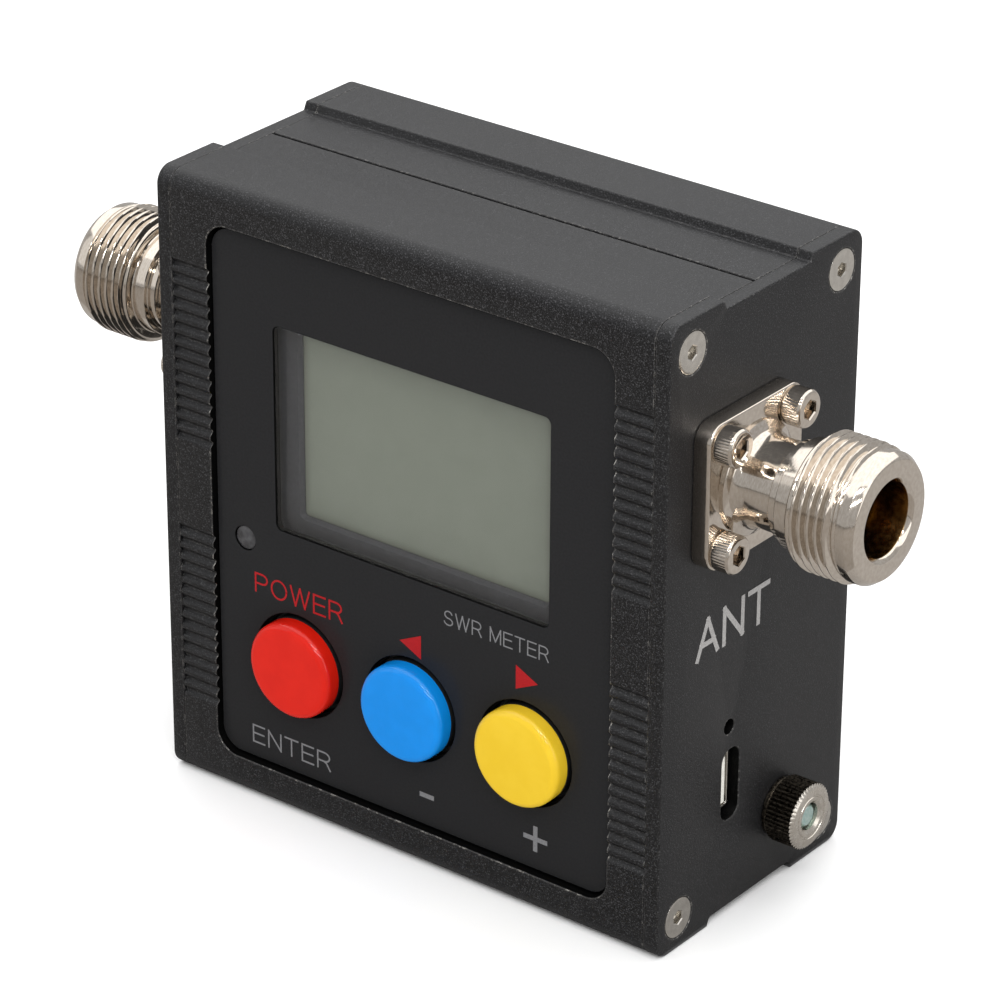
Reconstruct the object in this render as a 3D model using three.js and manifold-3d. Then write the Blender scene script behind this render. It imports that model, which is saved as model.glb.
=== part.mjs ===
// Handheld digital SWR (standing wave ratio) meter: two extruded aluminium shells closed by two end
// plates, an N-type coaxial socket on each end plate, a display and three keys on the front.
// Millimetres. +X towards the antenna socket, -Y towards the front panel, +Z up.
// The origin is the middle of the base: the rest face of the case, centred on the whole object.
import * as THREE from 'three';
import { mergeVertices } from 'three/addons/utils/BufferGeometryUtils.js';
import Module from 'manifold-3d';

const wasm = await Module();
wasm.setup();

// ---- Driving dimensions -------------------------------------------------------------------

// Case
const CASE_WIDTH = 72;
const CASE_HEIGHT = 77.6;
const CASE_DEPTH = 36;
const CORNER_R = 2.1;
const PLATE_T = 2;            // end plates
const RECESS_DEPTH = 1;       // shallow channel along the middle of the top and the bottom
const RECESS_HALF = 7.1;      // half the width of the channel's floor
const RECESS_SLOPE = 1.4;     // width of each sloped side of the channel
const SHELL_WALL = 1.8;       // top and bottom, under the channel
const FRONT_WALL = 3;
const REAR_WALL = 2.5;
const JOINT_GAP = 0.2;        // between the front and the rear shell

// Cooling ribs: two groups of grooves along each shell
const GROOVE_COUNT = 15;
const GROOVE_PITCH = 1.54;
const GROOVE_WIDTH = 0.9;
const GROOVE_DEPTH = 0.5;
const GROOVE_GROUP_OFFSET = 16.9;   // middle of a group from the middle of the case

// End plate screws, M2.5 countersunk
const PLATE_SCREW_INSET = 4;
const PLATE_SCREW_HEAD_R = 2.45;
const PLATE_SCREW_HEAD_H = 1.3;
const PLATE_SCREW_SHANK_R = 1.15;
const PLATE_SCREW_LENGTH = 9;
const PLATE_SCREW_SOCKET = 1.5;     // across flats
const PLATE_SCREW_SOCKET_DEPTH = 0.8;
const SCREW_GAP = 0.15;
const BOSS_WALL = 1.1;              // metal around each screw channel

// Label panel in its milled pocket
const POCKET_MARGIN_SIDE = 7.2;
const POCKET_MARGIN_END = 4.8;
const POCKET_R = 3;
const PANEL_SINK = 0.8;             // panel face below the case face
const PANEL_T = 1;
const PANEL_GAP_SIDE = 0.1;
const PANEL_GAP_END = 0.3;

// Display
const WINDOW_W = 39.5;
const WINDOW_H = 25.8;
const WINDOW_R = 0.9;
const WINDOW_DROP = 28.2;           // middle of the window below the top of the case
const WINDOW_GAP = 0.1;
const WINDOW_SINK = 0.15;
const LENS_PLATE_T = 1;
const DISPLAY_OPENING_MARGIN = 2.1;   // shell opening beyond the window
const DISPLAY_FRAME_LIP = 0.6;        // display frame beyond the shell opening
const DISPLAY_FRAME_FACE_T = 0.7;
const DISPLAY_FRAME_WALL = 1.6;
const VIEW_W = 35.4;
const VIEW_H = 23;
const GLASS_T = 2;
const BACKLIGHT_T = 2.5;

// Status light on the front
const LIGHT_R = 1.5;
const LIGHT_OUT = 4.75;             // outside the window's side
const LIGHT_DROP = 2.6;             // below the window's lower edge

// Keys
const KEY_PITCH = 16.6;
const KEY_HEIGHT = 19.7;            // above the base
const CAP_R = 5.75;
const CAP_GAP = 0.3;
const CAP_PROUD = 2.2;              // above the panel
const CAP_EDGE_R = 0.8;
const CAP_FLANGE = 0.75;            // flange beyond the cap's side
const CAP_FLANGE_T = 1.2;
const CAP_FLANGE_GAP = 0.2;
const KEY_TRAVEL = 0.5;
const SWITCH_SIDE = 12;
const SWITCH_HEIGHT = 3.5;
const SWITCH_WELL = 1.4;            // depth of the plunger's well in the switch
const PLUNGER_SIDE = 3.8;
const PLUNGER_GAP = 0.1;
const PLUNGER_IN_CAP = 1.7;

// Boards
const BOARD_SETBACK = 5.9;          // main board behind the front wall
const BOARD_T = 1.6;
const BOARD_GAP = 0.2;
const RAIL_H = 1.2;                 // card guides in the shell
const RAIL_T = 1;
const COUPLER_BOARD_SETBACK = 5.9;  // coupler board behind the main board
const COUPLER_BOARD_T = 1.2;
const COUPLER_BOARD_W = 46;
const COUPLER_BOARD_H = 22;
const SPACER_R = 2;
const SPACER_INSET = 3;

// N-type sockets
const SOCKET_SETBACK = 13.3;        // axis behind the front of the case
const SOCKET_DROP = 21.4;           // axis below the top of the case
const FLANGE_SIDE = 17.5;
const FLANGE_T = 2.2;
const FLANGE_CORNER_R = 2.3;
const FLANGE_SCREW_SPACING = 12.7;
const BOSS_R = 5.5;                 // rear boss through the end plate
const FOOT_R = 6.6;
const FOOT_T = 0.4;
const BARREL_R = 5.2;
const STEP_X = 7.7;                 // two steps up from the barrel to the thread
const STEP_R = 5.75;
const COLLAR_X = 8.9;
const COLLAR_R = 6.4;
const THREAD_X = 11;
const THREAD_R = 7.9375;            // 5/8 inch thread
const THREAD_ROOT_R = 7.3;
const THREAD_PITCH = 25.4 / 24;
const THREAD_TURNS = 6;
const NOSE_R = 7.5;
const NOSE_FACE_R = 6.85;
const NOSE_CHAMFER = 0.9;
const SOCKET_LENGTH = 19.5;
const BORE_R = 4.3;
const BORE_CHAMFER = 0.5;
const BORE_FLOOR = 7;
const INSULATOR_R = 2.9;
const INSULATOR_T = 2;
const INSULATOR_GAP = 0.05;
const CONTACT_R = 1.5;
const CONTACT_RECESS = 5.2;
const CONTACT_HOLE_R = 0.82;
const CONTACT_HOLE_DEPTH = 4.5;
const CONTACT_TAIL = 5;             // solder cup inside the case

// Flange screws, M2.5 socket cap
const CAP_SCREW_HEAD_R = 2.25;
const CAP_SCREW_HEAD_H = 2.5;
const CAP_SCREW_SHANK_R = 1.2;
const CAP_SCREW_LENGTH = 6;
const CAP_SCREW_SOCKET = 2;
const CAP_SCREW_SOCKET_DEPTH = 1.3;
const CAP_SCREW_EDGE = 0.3;

// Through line and its current cores
const LINE_R = 1.1;
const LINE_GAP = 0.1;
const CORE_R = 2.4;
const CORE_LENGTH = 6;
const CORE_OFFSET = 10;

// Charging board on the back of the main board, with a micro USB socket and an indicator
const CHARGE_BOARD_T = 1.6;
const CHARGE_BOARD_W = 14;
const CHARGE_BOARD_H = 20;
const CHARGE_BOARD_RISE = 1;        // its middle above the socket's
const USB_HEIGHT = 17.05;           // middle of the socket above the base
const USB_SLOT_W = 3.4;
const USB_SLOT_H = 9.1;
const USB_SHELL_T = 2.7;
const USB_SHELL_H = 7.4;
const USB_SHELL_NARROW = 5.6;       // its narrow side, against the board
const USB_SHELL_LENGTH = 5.4;
const USB_SHELL_WALL = 0.3;
const USB_RECESS = 0.45;            // mouth below the face of the end plate
const USB_TONGUE_T = 0.6;
const USB_TONGUE_W = 3.8;
const CHARGE_HOLE_R = 0.95;
const CHARGE_HOLE_RISE = 7.55;      // above the middle of the socket
const CHARGE_LIGHT_SIDE = 1.6;
const SIDE_GAP = 0.3;               // inner parts to the end plate

// Earth terminal on the antenna end plate, M3
const STUD_BEHIND_MIDDLE = 5.4;
const STUD_HEIGHT = 9.75;
const STUD_R = 1.5;
const STUD_HEAD_R = 2.75;
const STUD_HEAD_T = 2;
const STUD_RECESS = 0.5;            // stud end below the nut face
const NUT_R = 4;
const NUT_LENGTH = 4;
const NUT_TEETH = 46;
const NUT_TOOTH_H = 0.2;
const NUT_CHAMFER = 0.35;
const NUT_GAP = 0.15;
const WASHER_R = 3.6;
const WASHER_T = 0.5;

// Battery, on a foam pad against the rear wall
const BATTERY_W = 48;
const BATTERY_H = 34;
const BATTERY_T = 7.5;
const PAD_T = 1;
const PAD_INSET = 2;
const BATTERY_EDGE_R = 2;

// Roundness
const FINE = 28;
const MEDIUM = 16;
const COARSE = 12;
const FILLET_STEPS = 3;

// ---- Places worked out from the dimensions ---------------------------------------------------

const PLATE_X = CASE_WIDTH / 2;
const SHELL_X = PLATE_X - PLATE_T;
const FRONT = -CASE_DEPTH / 2;
const BACK = CASE_DEPTH / 2;
const FRONT_INNER = FRONT + FRONT_WALL;
const BACK_INNER = BACK - REAR_WALL;
const INNER_DROP = RECESS_DEPTH + SHELL_WALL;
const MIDDLE_Z = CASE_HEIGHT / 2;

const PANEL_FRONT = FRONT + PANEL_SINK;
const PANEL_BACK = PANEL_FRONT + PANEL_T;
const POCKET_W = CASE_WIDTH - 2 * POCKET_MARGIN_SIDE;
const POCKET_H = CASE_HEIGHT - 2 * POCKET_MARGIN_END;

const WINDOW_Z = CASE_HEIGHT - WINDOW_DROP;
const OPENING_W = WINDOW_W + 2 * DISPLAY_OPENING_MARGIN;
const OPENING_H = WINDOW_H + 2 * DISPLAY_OPENING_MARGIN;
const FRAME_W = OPENING_W + 2 * DISPLAY_FRAME_LIP;
const FRAME_H = OPENING_H + 2 * DISPLAY_FRAME_LIP;
const LIGHT_X = -(WINDOW_W / 2 + LIGHT_OUT);
const LIGHT_Z = WINDOW_Z - WINDOW_H / 2 - LIGHT_DROP;

const BOARD_FRONT = FRONT_INNER + BOARD_SETBACK;
const BOARD_BACK = BOARD_FRONT + BOARD_T;
const SWITCH_FRONT = BOARD_FRONT - SWITCH_HEIGHT;
const CAP_FRONT = PANEL_FRONT - CAP_PROUD;
const CAP_BACK = FRONT_INNER + CAP_FLANGE_GAP + CAP_FLANGE_T;
const HOLE_R = CAP_R + CAP_GAP;

const SOCKET_Y = FRONT + SOCKET_SETBACK;
const SOCKET_Z = CASE_HEIGHT - SOCKET_DROP;
const CHARGE_BOARD_BACK = BOARD_BACK + CHARGE_BOARD_T;
const USB_Y = CHARGE_BOARD_BACK + USB_SHELL_T / 2;
const CHARGE_HOLE_Y = CHARGE_BOARD_BACK + CHARGE_LIGHT_SIDE / 2;
const CHARGE_HOLE_Z = USB_HEIGHT + CHARGE_HOLE_RISE;

// ---- Finishes --------------------------------------------------------------------------------

function finish(color, roughness, metalness) {
  return new THREE.MeshStandardMaterial({ color, roughness, metalness });
}

const BLACK_ANODISED = finish('#2b2b2c', 0.55, 0.6);
const PRINTED_PANEL = finish('#262627', 0.45, 0);
const CLEAR_ACRYLIC = finish('#8a8f82', 0.08, 0);
const DISPLAY_GLASS = finish('#7b7f72', 0.15, 0);
const GREY_PLASTIC = finish('#46464a', 0.5, 0);
const WHITE_PLASTIC = finish('#e6e4dc', 0.4, 0);
const BLACK_PLASTIC = finish('#1c1c1e', 0.5, 0);
const RED_PLASTIC = finish('#de2c20', 0.2, 0);
const BLUE_PLASTIC = finish('#1e8be0', 0.2, 0);
const YELLOW_PLASTIC = finish('#f0ce35', 0.2, 0);
const SMOKED_LENS = finish('#55565a', 0.2, 0);
const GREEN_BOARD = finish('#1f5a3a', 0.5, 0);
const NICKEL = finish('#c9bfb3', 0.12, 1);
const STEEL = finish('#b9b6b0', 0.3, 1);
const ZINC = finish('#bfc6d6', 0.25, 1);
const GOLD = finish('#c99a3c', 0.25, 1);
const COPPER = finish('#b8734a', 0.3, 1);
const FERRITE = finish('#33302e', 0.7, 0);
const PTFE = finish('#e9e6df', 0.5, 0);
const BATTERY_WRAP = finish('#9aa2ab', 0.4, 0.3);
const FOAM = finish('#3a3a3a', 0.95, 0);

// ---- Solids ----------------------------------------------------------------------------------

// Welds a three.js geometry and drops the slivers at its poles, so that it is one closed solid.
function solid(geometry) {
  const bare = geometry.clone();
  bare.deleteAttribute('normal');
  bare.deleteAttribute('uv');
  const welded = mergeVertices(bare, 1e-5);
  const corners = welded.index.array;
  const kept = [];
  for (let i = 0; i < corners.length; i += 3) {
    const [a, b, c] = [corners[i], corners[i + 1], corners[i + 2]];
    if (a !== b && b !== c && c !== a) kept.push(a, b, c);
  }
  const made = manifoldOf(welded, kept);
  if (made.volume() > 0) return made;
  for (let i = 0; i < kept.length; i += 3) [kept[i], kept[i + 1]] = [kept[i + 1], kept[i]];
  return manifoldOf(welded, kept);
}

function manifoldOf(geometry, corners) {
  const vertProperties = new Float32Array(geometry.attributes.position.array);
  const triVerts = new Uint32Array(corners);
  return new wasm.Manifold(new wasm.Mesh({ numProp: 3, vertProperties, triVerts }));
}

function asGeometry(made) {
  const mesh = made.getMesh();
  const geometry = new THREE.BufferGeometry();
  geometry.setAttribute('position', new THREE.BufferAttribute(mesh.vertProperties, 3));
  geometry.setIndex(new THREE.BufferAttribute(mesh.triVerts, 1));
  return geometry;
}

const cut = (body, ...tools) => tools.reduce((rest, tool) => rest.subtract(tool), body);
const join = (body, ...more) => more.reduce((whole, next) => whole.add(next), body);

// Outline of a rectangle with round corners, centred on the point (x, y).
function roundedRect(width, height, radius, x = 0, y = 0) {
  const shape = new THREE.Shape();
  const [left, right, low, high] = [x - width / 2, x + width / 2, y - height / 2, y + height / 2];
  shape.moveTo(left + radius, low);
  shape.lineTo(right - radius, low);
  shape.absarc(right - radius, low + radius, radius, -Math.PI / 2, 0);
  shape.lineTo(right, high - radius);
  shape.absarc(right - radius, high - radius, radius, 0, Math.PI / 2);
  shape.lineTo(left + radius, high);
  shape.absarc(left + radius, high - radius, radius, Math.PI / 2, Math.PI);
  shape.lineTo(left, low + radius);
  shape.absarc(left + radius, low + radius, radius, Math.PI, 1.5 * Math.PI);
  return shape;
}

function circle(radius, x = 0, y = 0) {
  const shape = new THREE.Shape();
  shape.absarc(x, y, radius, 0, 2 * Math.PI);
  return shape;
}

function polygon(points) {
  return new THREE.Shape(points.map(([x, y]) => new THREE.Vector2(x, y)));
}

function hexagon(acrossFlats) {
  const radius = acrossFlats / Math.sqrt(3);
  const corners = [...Array(6).keys()].map((i) => i * Math.PI / 3);
  return polygon(corners.map((angle) => [radius * Math.cos(angle), radius * Math.sin(angle)]));
}

// A shape drawn in X and Z, from y = start through the given thickness towards the back.
function alongY(shape, start, thickness, curveSegments = 6) {
  const geometry = new THREE.ExtrudeGeometry(shape, { depth: thickness, bevelEnabled: false, curveSegments });
  geometry.rotateX(Math.PI / 2);
  geometry.translate(0, start + thickness, 0);
  return solid(geometry);
}

// A shape drawn in Y and Z, from x = start through the given length.
function alongX(shape, start, length, curveSegments = 6) {
  const geometry = new THREE.ExtrudeGeometry(shape, { depth: length, bevelEnabled: false, curveSegments });
  const turn = new THREE.Matrix4().makeBasis(
    new THREE.Vector3(0, 1, 0), new THREE.Vector3(0, 0, 1), new THREE.Vector3(1, 0, 0));
  geometry.applyMatrix4(turn);
  geometry.translate(start, 0, 0);
  return solid(geometry);
}

// A solid of revolution about X. The profile is a list of [x, radius] that starts and ends on the
// axis, or closes on itself for a ring.
function turned(profile, segments) {
  const points = profile.map(([x, radius]) => new THREE.Vector2(radius, x));
  const geometry = new THREE.LatheGeometry(points, segments);
  geometry.rotateZ(-Math.PI / 2);
  return solid(geometry);
}

function block(width, depth, height, x, y, z) {
  const geometry = new THREE.BoxGeometry(width, depth, height);
  geometry.translate(x, y, z);
  return solid(geometry);
}

// A round bar or hole along Y at (x, z).
function pegY(radius, x, z, start, length, segments = MEDIUM) {
  const geometry = new THREE.CylinderGeometry(radius, radius, length, segments);
  geometry.translate(x, start + length / 2, z);
  return solid(geometry);
}

// A round bar or hole along X at (y, z).
function pegX(radius, y, z, start, length, segments = MEDIUM) {
  const geometry = new THREE.CylinderGeometry(radius, radius, length, segments);
  geometry.rotateZ(-Math.PI / 2);
  geometry.translate(start + length / 2, y, z);
  return solid(geometry);
}

function piece(name, made, material) {
  const mesh = new THREE.Mesh(asGeometry(made), material);
  mesh.name = name;
  return mesh;
}

// ---- Case ------------------------------------------------------------------------------------

const SCREW_Y = CASE_DEPTH / 2 - PLATE_SCREW_INSET;
const SCREW_LOW = PLATE_SCREW_INSET;
const SCREW_HIGH = CASE_HEIGHT - PLATE_SCREW_INSET;
const CHANNEL_R = PLATE_SCREW_SHANK_R + SCREW_GAP;
const BLOCK_REACH = PLATE_SCREW_INSET + CHANNEL_R + BOSS_WALL;

// A round corner of the case, from one angle to another, about its centre.
function cornerArc(y, z, from, to) {
  const steps = [...Array(FILLET_STEPS + 1).keys()];
  const angles = steps.map((step) => from + (to - from) * step / FILLET_STEPS);
  return angles.map((angle) => [y + CORNER_R * Math.cos(angle), z + CORNER_R * Math.sin(angle)]);
}

// The V grooves of one group, from low to high, along a face at y, cut towards the inside.
function grooveRun(y, middle, inward) {
  const first = middle - (GROOVE_COUNT - 1) / 2 * GROOVE_PITCH;
  return [...Array(GROOVE_COUNT).keys()].flatMap((i) => {
    const z = first + i * GROOVE_PITCH;
    return [[y, z - GROOVE_WIDTH / 2], [y + inward * GROOVE_DEPTH, z], [y, z + GROOVE_WIDTH / 2]];
  });
}

// Half of the case outline in Y and Z, from the joint at the base, round the front face, to the
// joint at the top. The rear half is its mirror image.
function frontOutline(jointY, grooved) {
  const bandEdge = RECESS_HALF + RECESS_SLOPE;
  const low = [[jointY, RECESS_DEPTH], [-RECESS_HALF, RECESS_DEPTH], [-bandEdge, 0]];
  const high = [[-bandEdge, CASE_HEIGHT], [-RECESS_HALF, CASE_HEIGHT - RECESS_DEPTH],
    [jointY, CASE_HEIGHT - RECESS_DEPTH]];
  const centreY = FRONT + CORNER_R;
  const lowCorner = cornerArc(centreY, CORNER_R, 1.5 * Math.PI, Math.PI);
  const highCorner = cornerArc(centreY, CASE_HEIGHT - CORNER_R, Math.PI, Math.PI / 2);
  const groups = [MIDDLE_Z - GROOVE_GROUP_OFFSET, MIDDLE_Z + GROOVE_GROUP_OFFSET];
  const grooves = grooved ? groups.flatMap((middle) => grooveRun(FRONT, middle, 1)) : [];
  return [...low, ...lowCorner, ...grooves, ...highCorner, ...high];
}

// Inside of a shell from the top joint round to the base joint: flat walls, a block round each
// screw channel, and card guides where railY gives the middle of the board.
function frontInside(jointY, wallY, railY) {
  const ceiling = CASE_HEIGHT - INNER_DROP;
  const blockY = -CASE_DEPTH / 2 + BLOCK_REACH;
  const upper = railRun(railY, ceiling, -1);
  const lower = railRun(railY, INNER_DROP, 1).reverse();
  return [[jointY, ceiling], ...upper,
    [blockY, ceiling], [blockY, CASE_HEIGHT - BLOCK_REACH], [wallY, CASE_HEIGHT - BLOCK_REACH],
    [wallY, BLOCK_REACH], [blockY, BLOCK_REACH], [blockY, INNER_DROP], ...lower, [jointY, INNER_DROP]];
}

// Two guide rails either side of a board whose middle is at y, standing in from a wall at z.
function railRun(y, z, inward) {
  if (y === null) return [];
  const half = BOARD_T / 2 + BOARD_GAP;
  const tip = z + inward * RAIL_H;
  const [back, front] = [y + half, y - half];
  return [[back + RAIL_T, z], [back + RAIL_T, tip], [back, tip], [back, z],
    [front, z], [front, tip], [front - RAIL_T, tip], [front - RAIL_T, z]];
}

function shellShape(mirror, wallY, railY) {
  const jointY = -JOINT_GAP / 2;
  const points = [...frontOutline(jointY, true), ...frontInside(jointY, wallY, railY)];
  const shape = polygon(points.map(([y, z]) => [mirror * y, z]));
  for (const z of [SCREW_LOW, SCREW_HIGH]) shape.holes.push(circle(CHANNEL_R, -mirror * SCREW_Y, z));
  return shape;
}

const KEY_KINDS = [['red', RED_PLASTIC], ['blue', BLUE_PLASTIC], ['yellow', YELLOW_PLASTIC]];
const KEY_X = KEY_KINDS.map((kind, i) => (i - (KEY_KINDS.length - 1) / 2) * KEY_PITCH);

function frontShell() {
  const railY = (BOARD_FRONT + BOARD_BACK) / 2;
  const shell = alongX(shellShape(1, FRONT_INNER, railY), -SHELL_X, 2 * SHELL_X, 4);
  const pocketShape = roundedRect(POCKET_W, POCKET_H, POCKET_R, 0, MIDDLE_Z);
  const pocket = alongY(pocketShape, FRONT - 1, PANEL_BACK - FRONT + 1);
  const opening = alongY(roundedRect(OPENING_W, OPENING_H, WINDOW_R, 0, WINDOW_Z), FRONT, FRONT_WALL + 1, 3);
  const holes = KEY_X.map((x) => pegY(HOLE_R, x, KEY_HEIGHT, FRONT, FRONT_WALL + 1, FINE));
  const lightHole = pegY(LIGHT_R + SCREW_GAP, LIGHT_X, LIGHT_Z, FRONT, FRONT_WALL + 1, COARSE);
  return piece('front_shell', cut(shell, pocket, opening, lightHole, ...holes), BLACK_ANODISED);
}

function rearShell() {
  const shell = alongX(shellShape(-1, -BACK_INNER, null), -SHELL_X, 2 * SHELL_X, 4);
  return piece('rear_shell', shell, BLACK_ANODISED);
}

// ---- End plates and their screws -------------------------------------------------------------

function plateShape() {
  const front = frontOutline(0, false);
  const back = [...front].reverse().slice(1, -1).map(([y, z]) => [-y, z]);
  return polygon([...front, ...back]);
}

// Profile of a countersunk screw whose face is at x = 0, grown by a clearance for its hole.
function countersunkProfile(grow, length) {
  const neck = PLATE_SCREW_HEAD_R - PLATE_SCREW_SHANK_R;
  return [[-length, 0], [-length, PLATE_SCREW_SHANK_R + grow],
    [-PLATE_SCREW_HEAD_H, PLATE_SCREW_SHANK_R + grow],
    [-PLATE_SCREW_HEAD_H + neck, PLATE_SCREW_HEAD_R + grow],
    [grow, PLATE_SCREW_HEAD_R + grow], [grow, 0]];
}

const FLANGE_SCREW_PLACES = [-1, 1].flatMap((y) => [-1, 1].map((z) => (
  [y * FLANGE_SCREW_SPACING / 2, z * FLANGE_SCREW_SPACING / 2])));
const PLATE_SCREW_PLACES = [-SCREW_Y, SCREW_Y].flatMap((y) => [SCREW_LOW, SCREW_HIGH].map((z) => [y, z]));

// Openings that both end plates have, cut from a plate whose outer face is at x = 0, material
// towards -X.
function plateCuts() {
  const through = PLATE_T + 1;
  const sinks = PLATE_SCREW_PLACES.map(
    ([y, z]) => turned(countersunkProfile(SCREW_GAP, through), MEDIUM).translate([0, y, z]));
  const bore = pegX(BOSS_R + SCREW_GAP, SOCKET_Y, SOCKET_Z, -through, through + 1, FINE);
  const threads = FLANGE_SCREW_PLACES.map(([y, z]) => pegX(
    CAP_SCREW_SHANK_R + SCREW_GAP, SOCKET_Y + y, SOCKET_Z + z, -through, through + 1, COARSE));
  return [...sinks, bore, ...threads];
}

function leftPlate() {
  const plate = alongX(plateShape(), -PLATE_T, PLATE_T);
  const flipped = cut(plate, ...plateCuts()).mirror([1, 0, 0]).translate([-PLATE_X, 0, 0]);
  return piece('left_end_plate', flipped, BLACK_ANODISED);
}

function rightPlate() {
  const through = PLATE_T + 1;
  const plate = alongX(plateShape(), -PLATE_T, PLATE_T);
  const slotShape = roundedRect(USB_SLOT_W, USB_SLOT_H, USB_SLOT_W / 2 - SCREW_GAP, USB_Y, USB_HEIGHT);
  const slot = alongX(slotShape, -through, through + 1);
  const chargeHole = pegX(CHARGE_HOLE_R, CHARGE_HOLE_Y, CHARGE_HOLE_Z, -through, through + 1);
  const studHole = pegX(STUD_R + SCREW_GAP, STUD_BEHIND_MIDDLE, STUD_HEIGHT, -through, through + 1);
  const made = cut(plate, ...plateCuts(), slot, chargeHole, studHole).translate([PLATE_X, 0, 0]);
  return piece('right_end_plate', made, BLACK_ANODISED);
}

function plateScrew(name) {
  const body = turned(countersunkProfile(0, PLATE_SCREW_LENGTH), COARSE);
  const socket = alongX(hexagon(PLATE_SCREW_SOCKET), -PLATE_SCREW_SOCKET_DEPTH, PLATE_SCREW_SOCKET_DEPTH + 1);
  return piece(name, cut(body, socket), STEEL);
}

// The four screws of one end plate; side is 1 on the antenna side and -1 on the transmitter side.
function plateScrews(side, label) {
  return PLATE_SCREW_PLACES.map(([y, z], i) => {
    const screw = plateScrew(`${label}_plate_screw_${i + 1}`);
    screw.position.set(side * PLATE_X, y, z);
    screw.rotation.z = side > 0 ? 0 : Math.PI;
    return screw;
  });
}

// ---- Front panel, display and status light -----------------------------------------------------

function labelPanel() {
  const shape = roundedRect(
    POCKET_W - 2 * PANEL_GAP_SIDE, POCKET_H - 2 * PANEL_GAP_END, POCKET_R - PANEL_GAP_SIDE, 0, MIDDLE_Z);
  const panel = alongY(shape, PANEL_FRONT, PANEL_T);
  const window = alongY(roundedRect(WINDOW_W, WINDOW_H, WINDOW_R, 0, WINDOW_Z), FRONT, FRONT_WALL, 3);
  const holes = KEY_X.map((x) => pegY(HOLE_R, x, KEY_HEIGHT, FRONT, FRONT_WALL, FINE));
  const lightHole = pegY(LIGHT_R + SCREW_GAP, LIGHT_X, LIGHT_Z, FRONT, FRONT_WALL, COARSE);
  return piece('label_panel', cut(panel, window, lightHole, ...holes), PRINTED_PANEL);
}

function displayWindow() {
  const shape = roundedRect(
    WINDOW_W - 2 * WINDOW_GAP, WINDOW_H - 2 * WINDOW_GAP, WINDOW_R - WINDOW_GAP, 0, WINDOW_Z);
  return piece('display_window', alongY(shape, PANEL_FRONT + WINDOW_SINK, LENS_PLATE_T, 3), CLEAR_ACRYLIC);
}

const FRAME_FRONT = FRONT_INNER + 0.5 * CAP_FLANGE_GAP;
const GLASS_FRONT = FRAME_FRONT + DISPLAY_FRAME_FACE_T;
const GLASS_W = FRAME_W - 2 * DISPLAY_FRAME_WALL - 2 * WINDOW_GAP;
const GLASS_H = FRAME_H - 2 * DISPLAY_FRAME_WALL - 2 * WINDOW_GAP;

function displayFrame() {
  const depth = BOARD_FRONT - FRAME_FRONT;
  const middle = FRAME_FRONT + depth / 2;
  const outside = block(FRAME_W, depth, FRAME_H, 0, middle, WINDOW_Z);
  const view = block(VIEW_W, depth + 2, VIEW_H, 0, middle, WINDOW_Z);
  const inside = block(
    GLASS_W + 2 * WINDOW_GAP, depth, GLASS_H + 2 * WINDOW_GAP, 0, middle + DISPLAY_FRAME_FACE_T, WINDOW_Z);
  return piece('display_frame', cut(outside, view, inside), GREY_PLASTIC);
}

function displayGlass() {
  const made = block(GLASS_W, GLASS_T, GLASS_H, 0, GLASS_FRONT + GLASS_T / 2, WINDOW_Z);
  return piece('display_glass', made, DISPLAY_GLASS);
}

function displayBacklight() {
  const middle = GLASS_FRONT + GLASS_T + WINDOW_GAP + BACKLIGHT_T / 2;
  const made = block(GLASS_W, BACKLIGHT_T, GLASS_H, 0, middle, WINDOW_Z);
  return piece('display_backlight', made, WHITE_PLASTIC);
}

function statusLight() {
  const made = pegY(LIGHT_R, LIGHT_X, LIGHT_Z, PANEL_FRONT, BOARD_FRONT - PANEL_FRONT, COARSE);
  return piece('status_light_lens', made, SMOKED_LENS);
}

// ---- Keys ------------------------------------------------------------------------------------

// One key: its round cap with a flange behind the panel, the plunger in it, and the switch on the
// board. Origin on the key's axis, at the same depth as the case's middle.
function key(name, material) {
  const group = new THREE.Group();
  const edge = [...Array(FILLET_STEPS + 1).keys()].map((step) => {
    const angle = Math.PI / 2 * step / FILLET_STEPS;
    return [CAP_FRONT + CAP_EDGE_R * (1 - Math.sin(angle)), CAP_R - CAP_EDGE_R * (1 - Math.cos(angle))];
  });
  const flangeFront = CAP_BACK - CAP_FLANGE_T;
  const profile = [[CAP_BACK, 0], [CAP_BACK, CAP_R + CAP_FLANGE], [flangeFront, CAP_R + CAP_FLANGE],
    [flangeFront, CAP_R], ...edge, [CAP_FRONT, 0]];
  const cap = turned(profile, FINE).rotate([0, 0, 90]);
  const seat = PLUNGER_SIDE + 2 * PLUNGER_GAP;
  const plungerFront = CAP_BACK - PLUNGER_IN_CAP;
  const plungerBack = SWITCH_FRONT + SWITCH_WELL - KEY_TRAVEL - PLUNGER_GAP;
  const hollow = block(seat, PLUNGER_IN_CAP, seat, 0, CAP_BACK - PLUNGER_IN_CAP / 2, 0);
  const plungerLength = plungerBack - plungerFront;
  const plunger = block(PLUNGER_SIDE, plungerLength, PLUNGER_SIDE, 0, plungerFront + plungerLength / 2, 0);
  const body = block(SWITCH_SIDE, SWITCH_HEIGHT, SWITCH_SIDE, 0, SWITCH_FRONT + SWITCH_HEIGHT / 2, 0);
  const well = block(seat, SWITCH_WELL, seat, 0, SWITCH_FRONT + SWITCH_WELL / 2, 0);
  group.add(piece(`${name}_key_cap`, cut(cap, hollow), material));
  group.add(piece(`${name}_key_plunger`, plunger, BLACK_PLASTIC));
  group.add(piece(`${name}_key_switch`, cut(body, well), BLACK_PLASTIC));
  return group;
}

function keys() {
  return KEY_KINDS.map(([name, material], i) => {
    const group = key(name, material);
    group.position.set(KEY_X[i], 0, KEY_HEIGHT);
    return group;
  });
}

// ---- Boards, battery and charging socket -------------------------------------------------------

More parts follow.
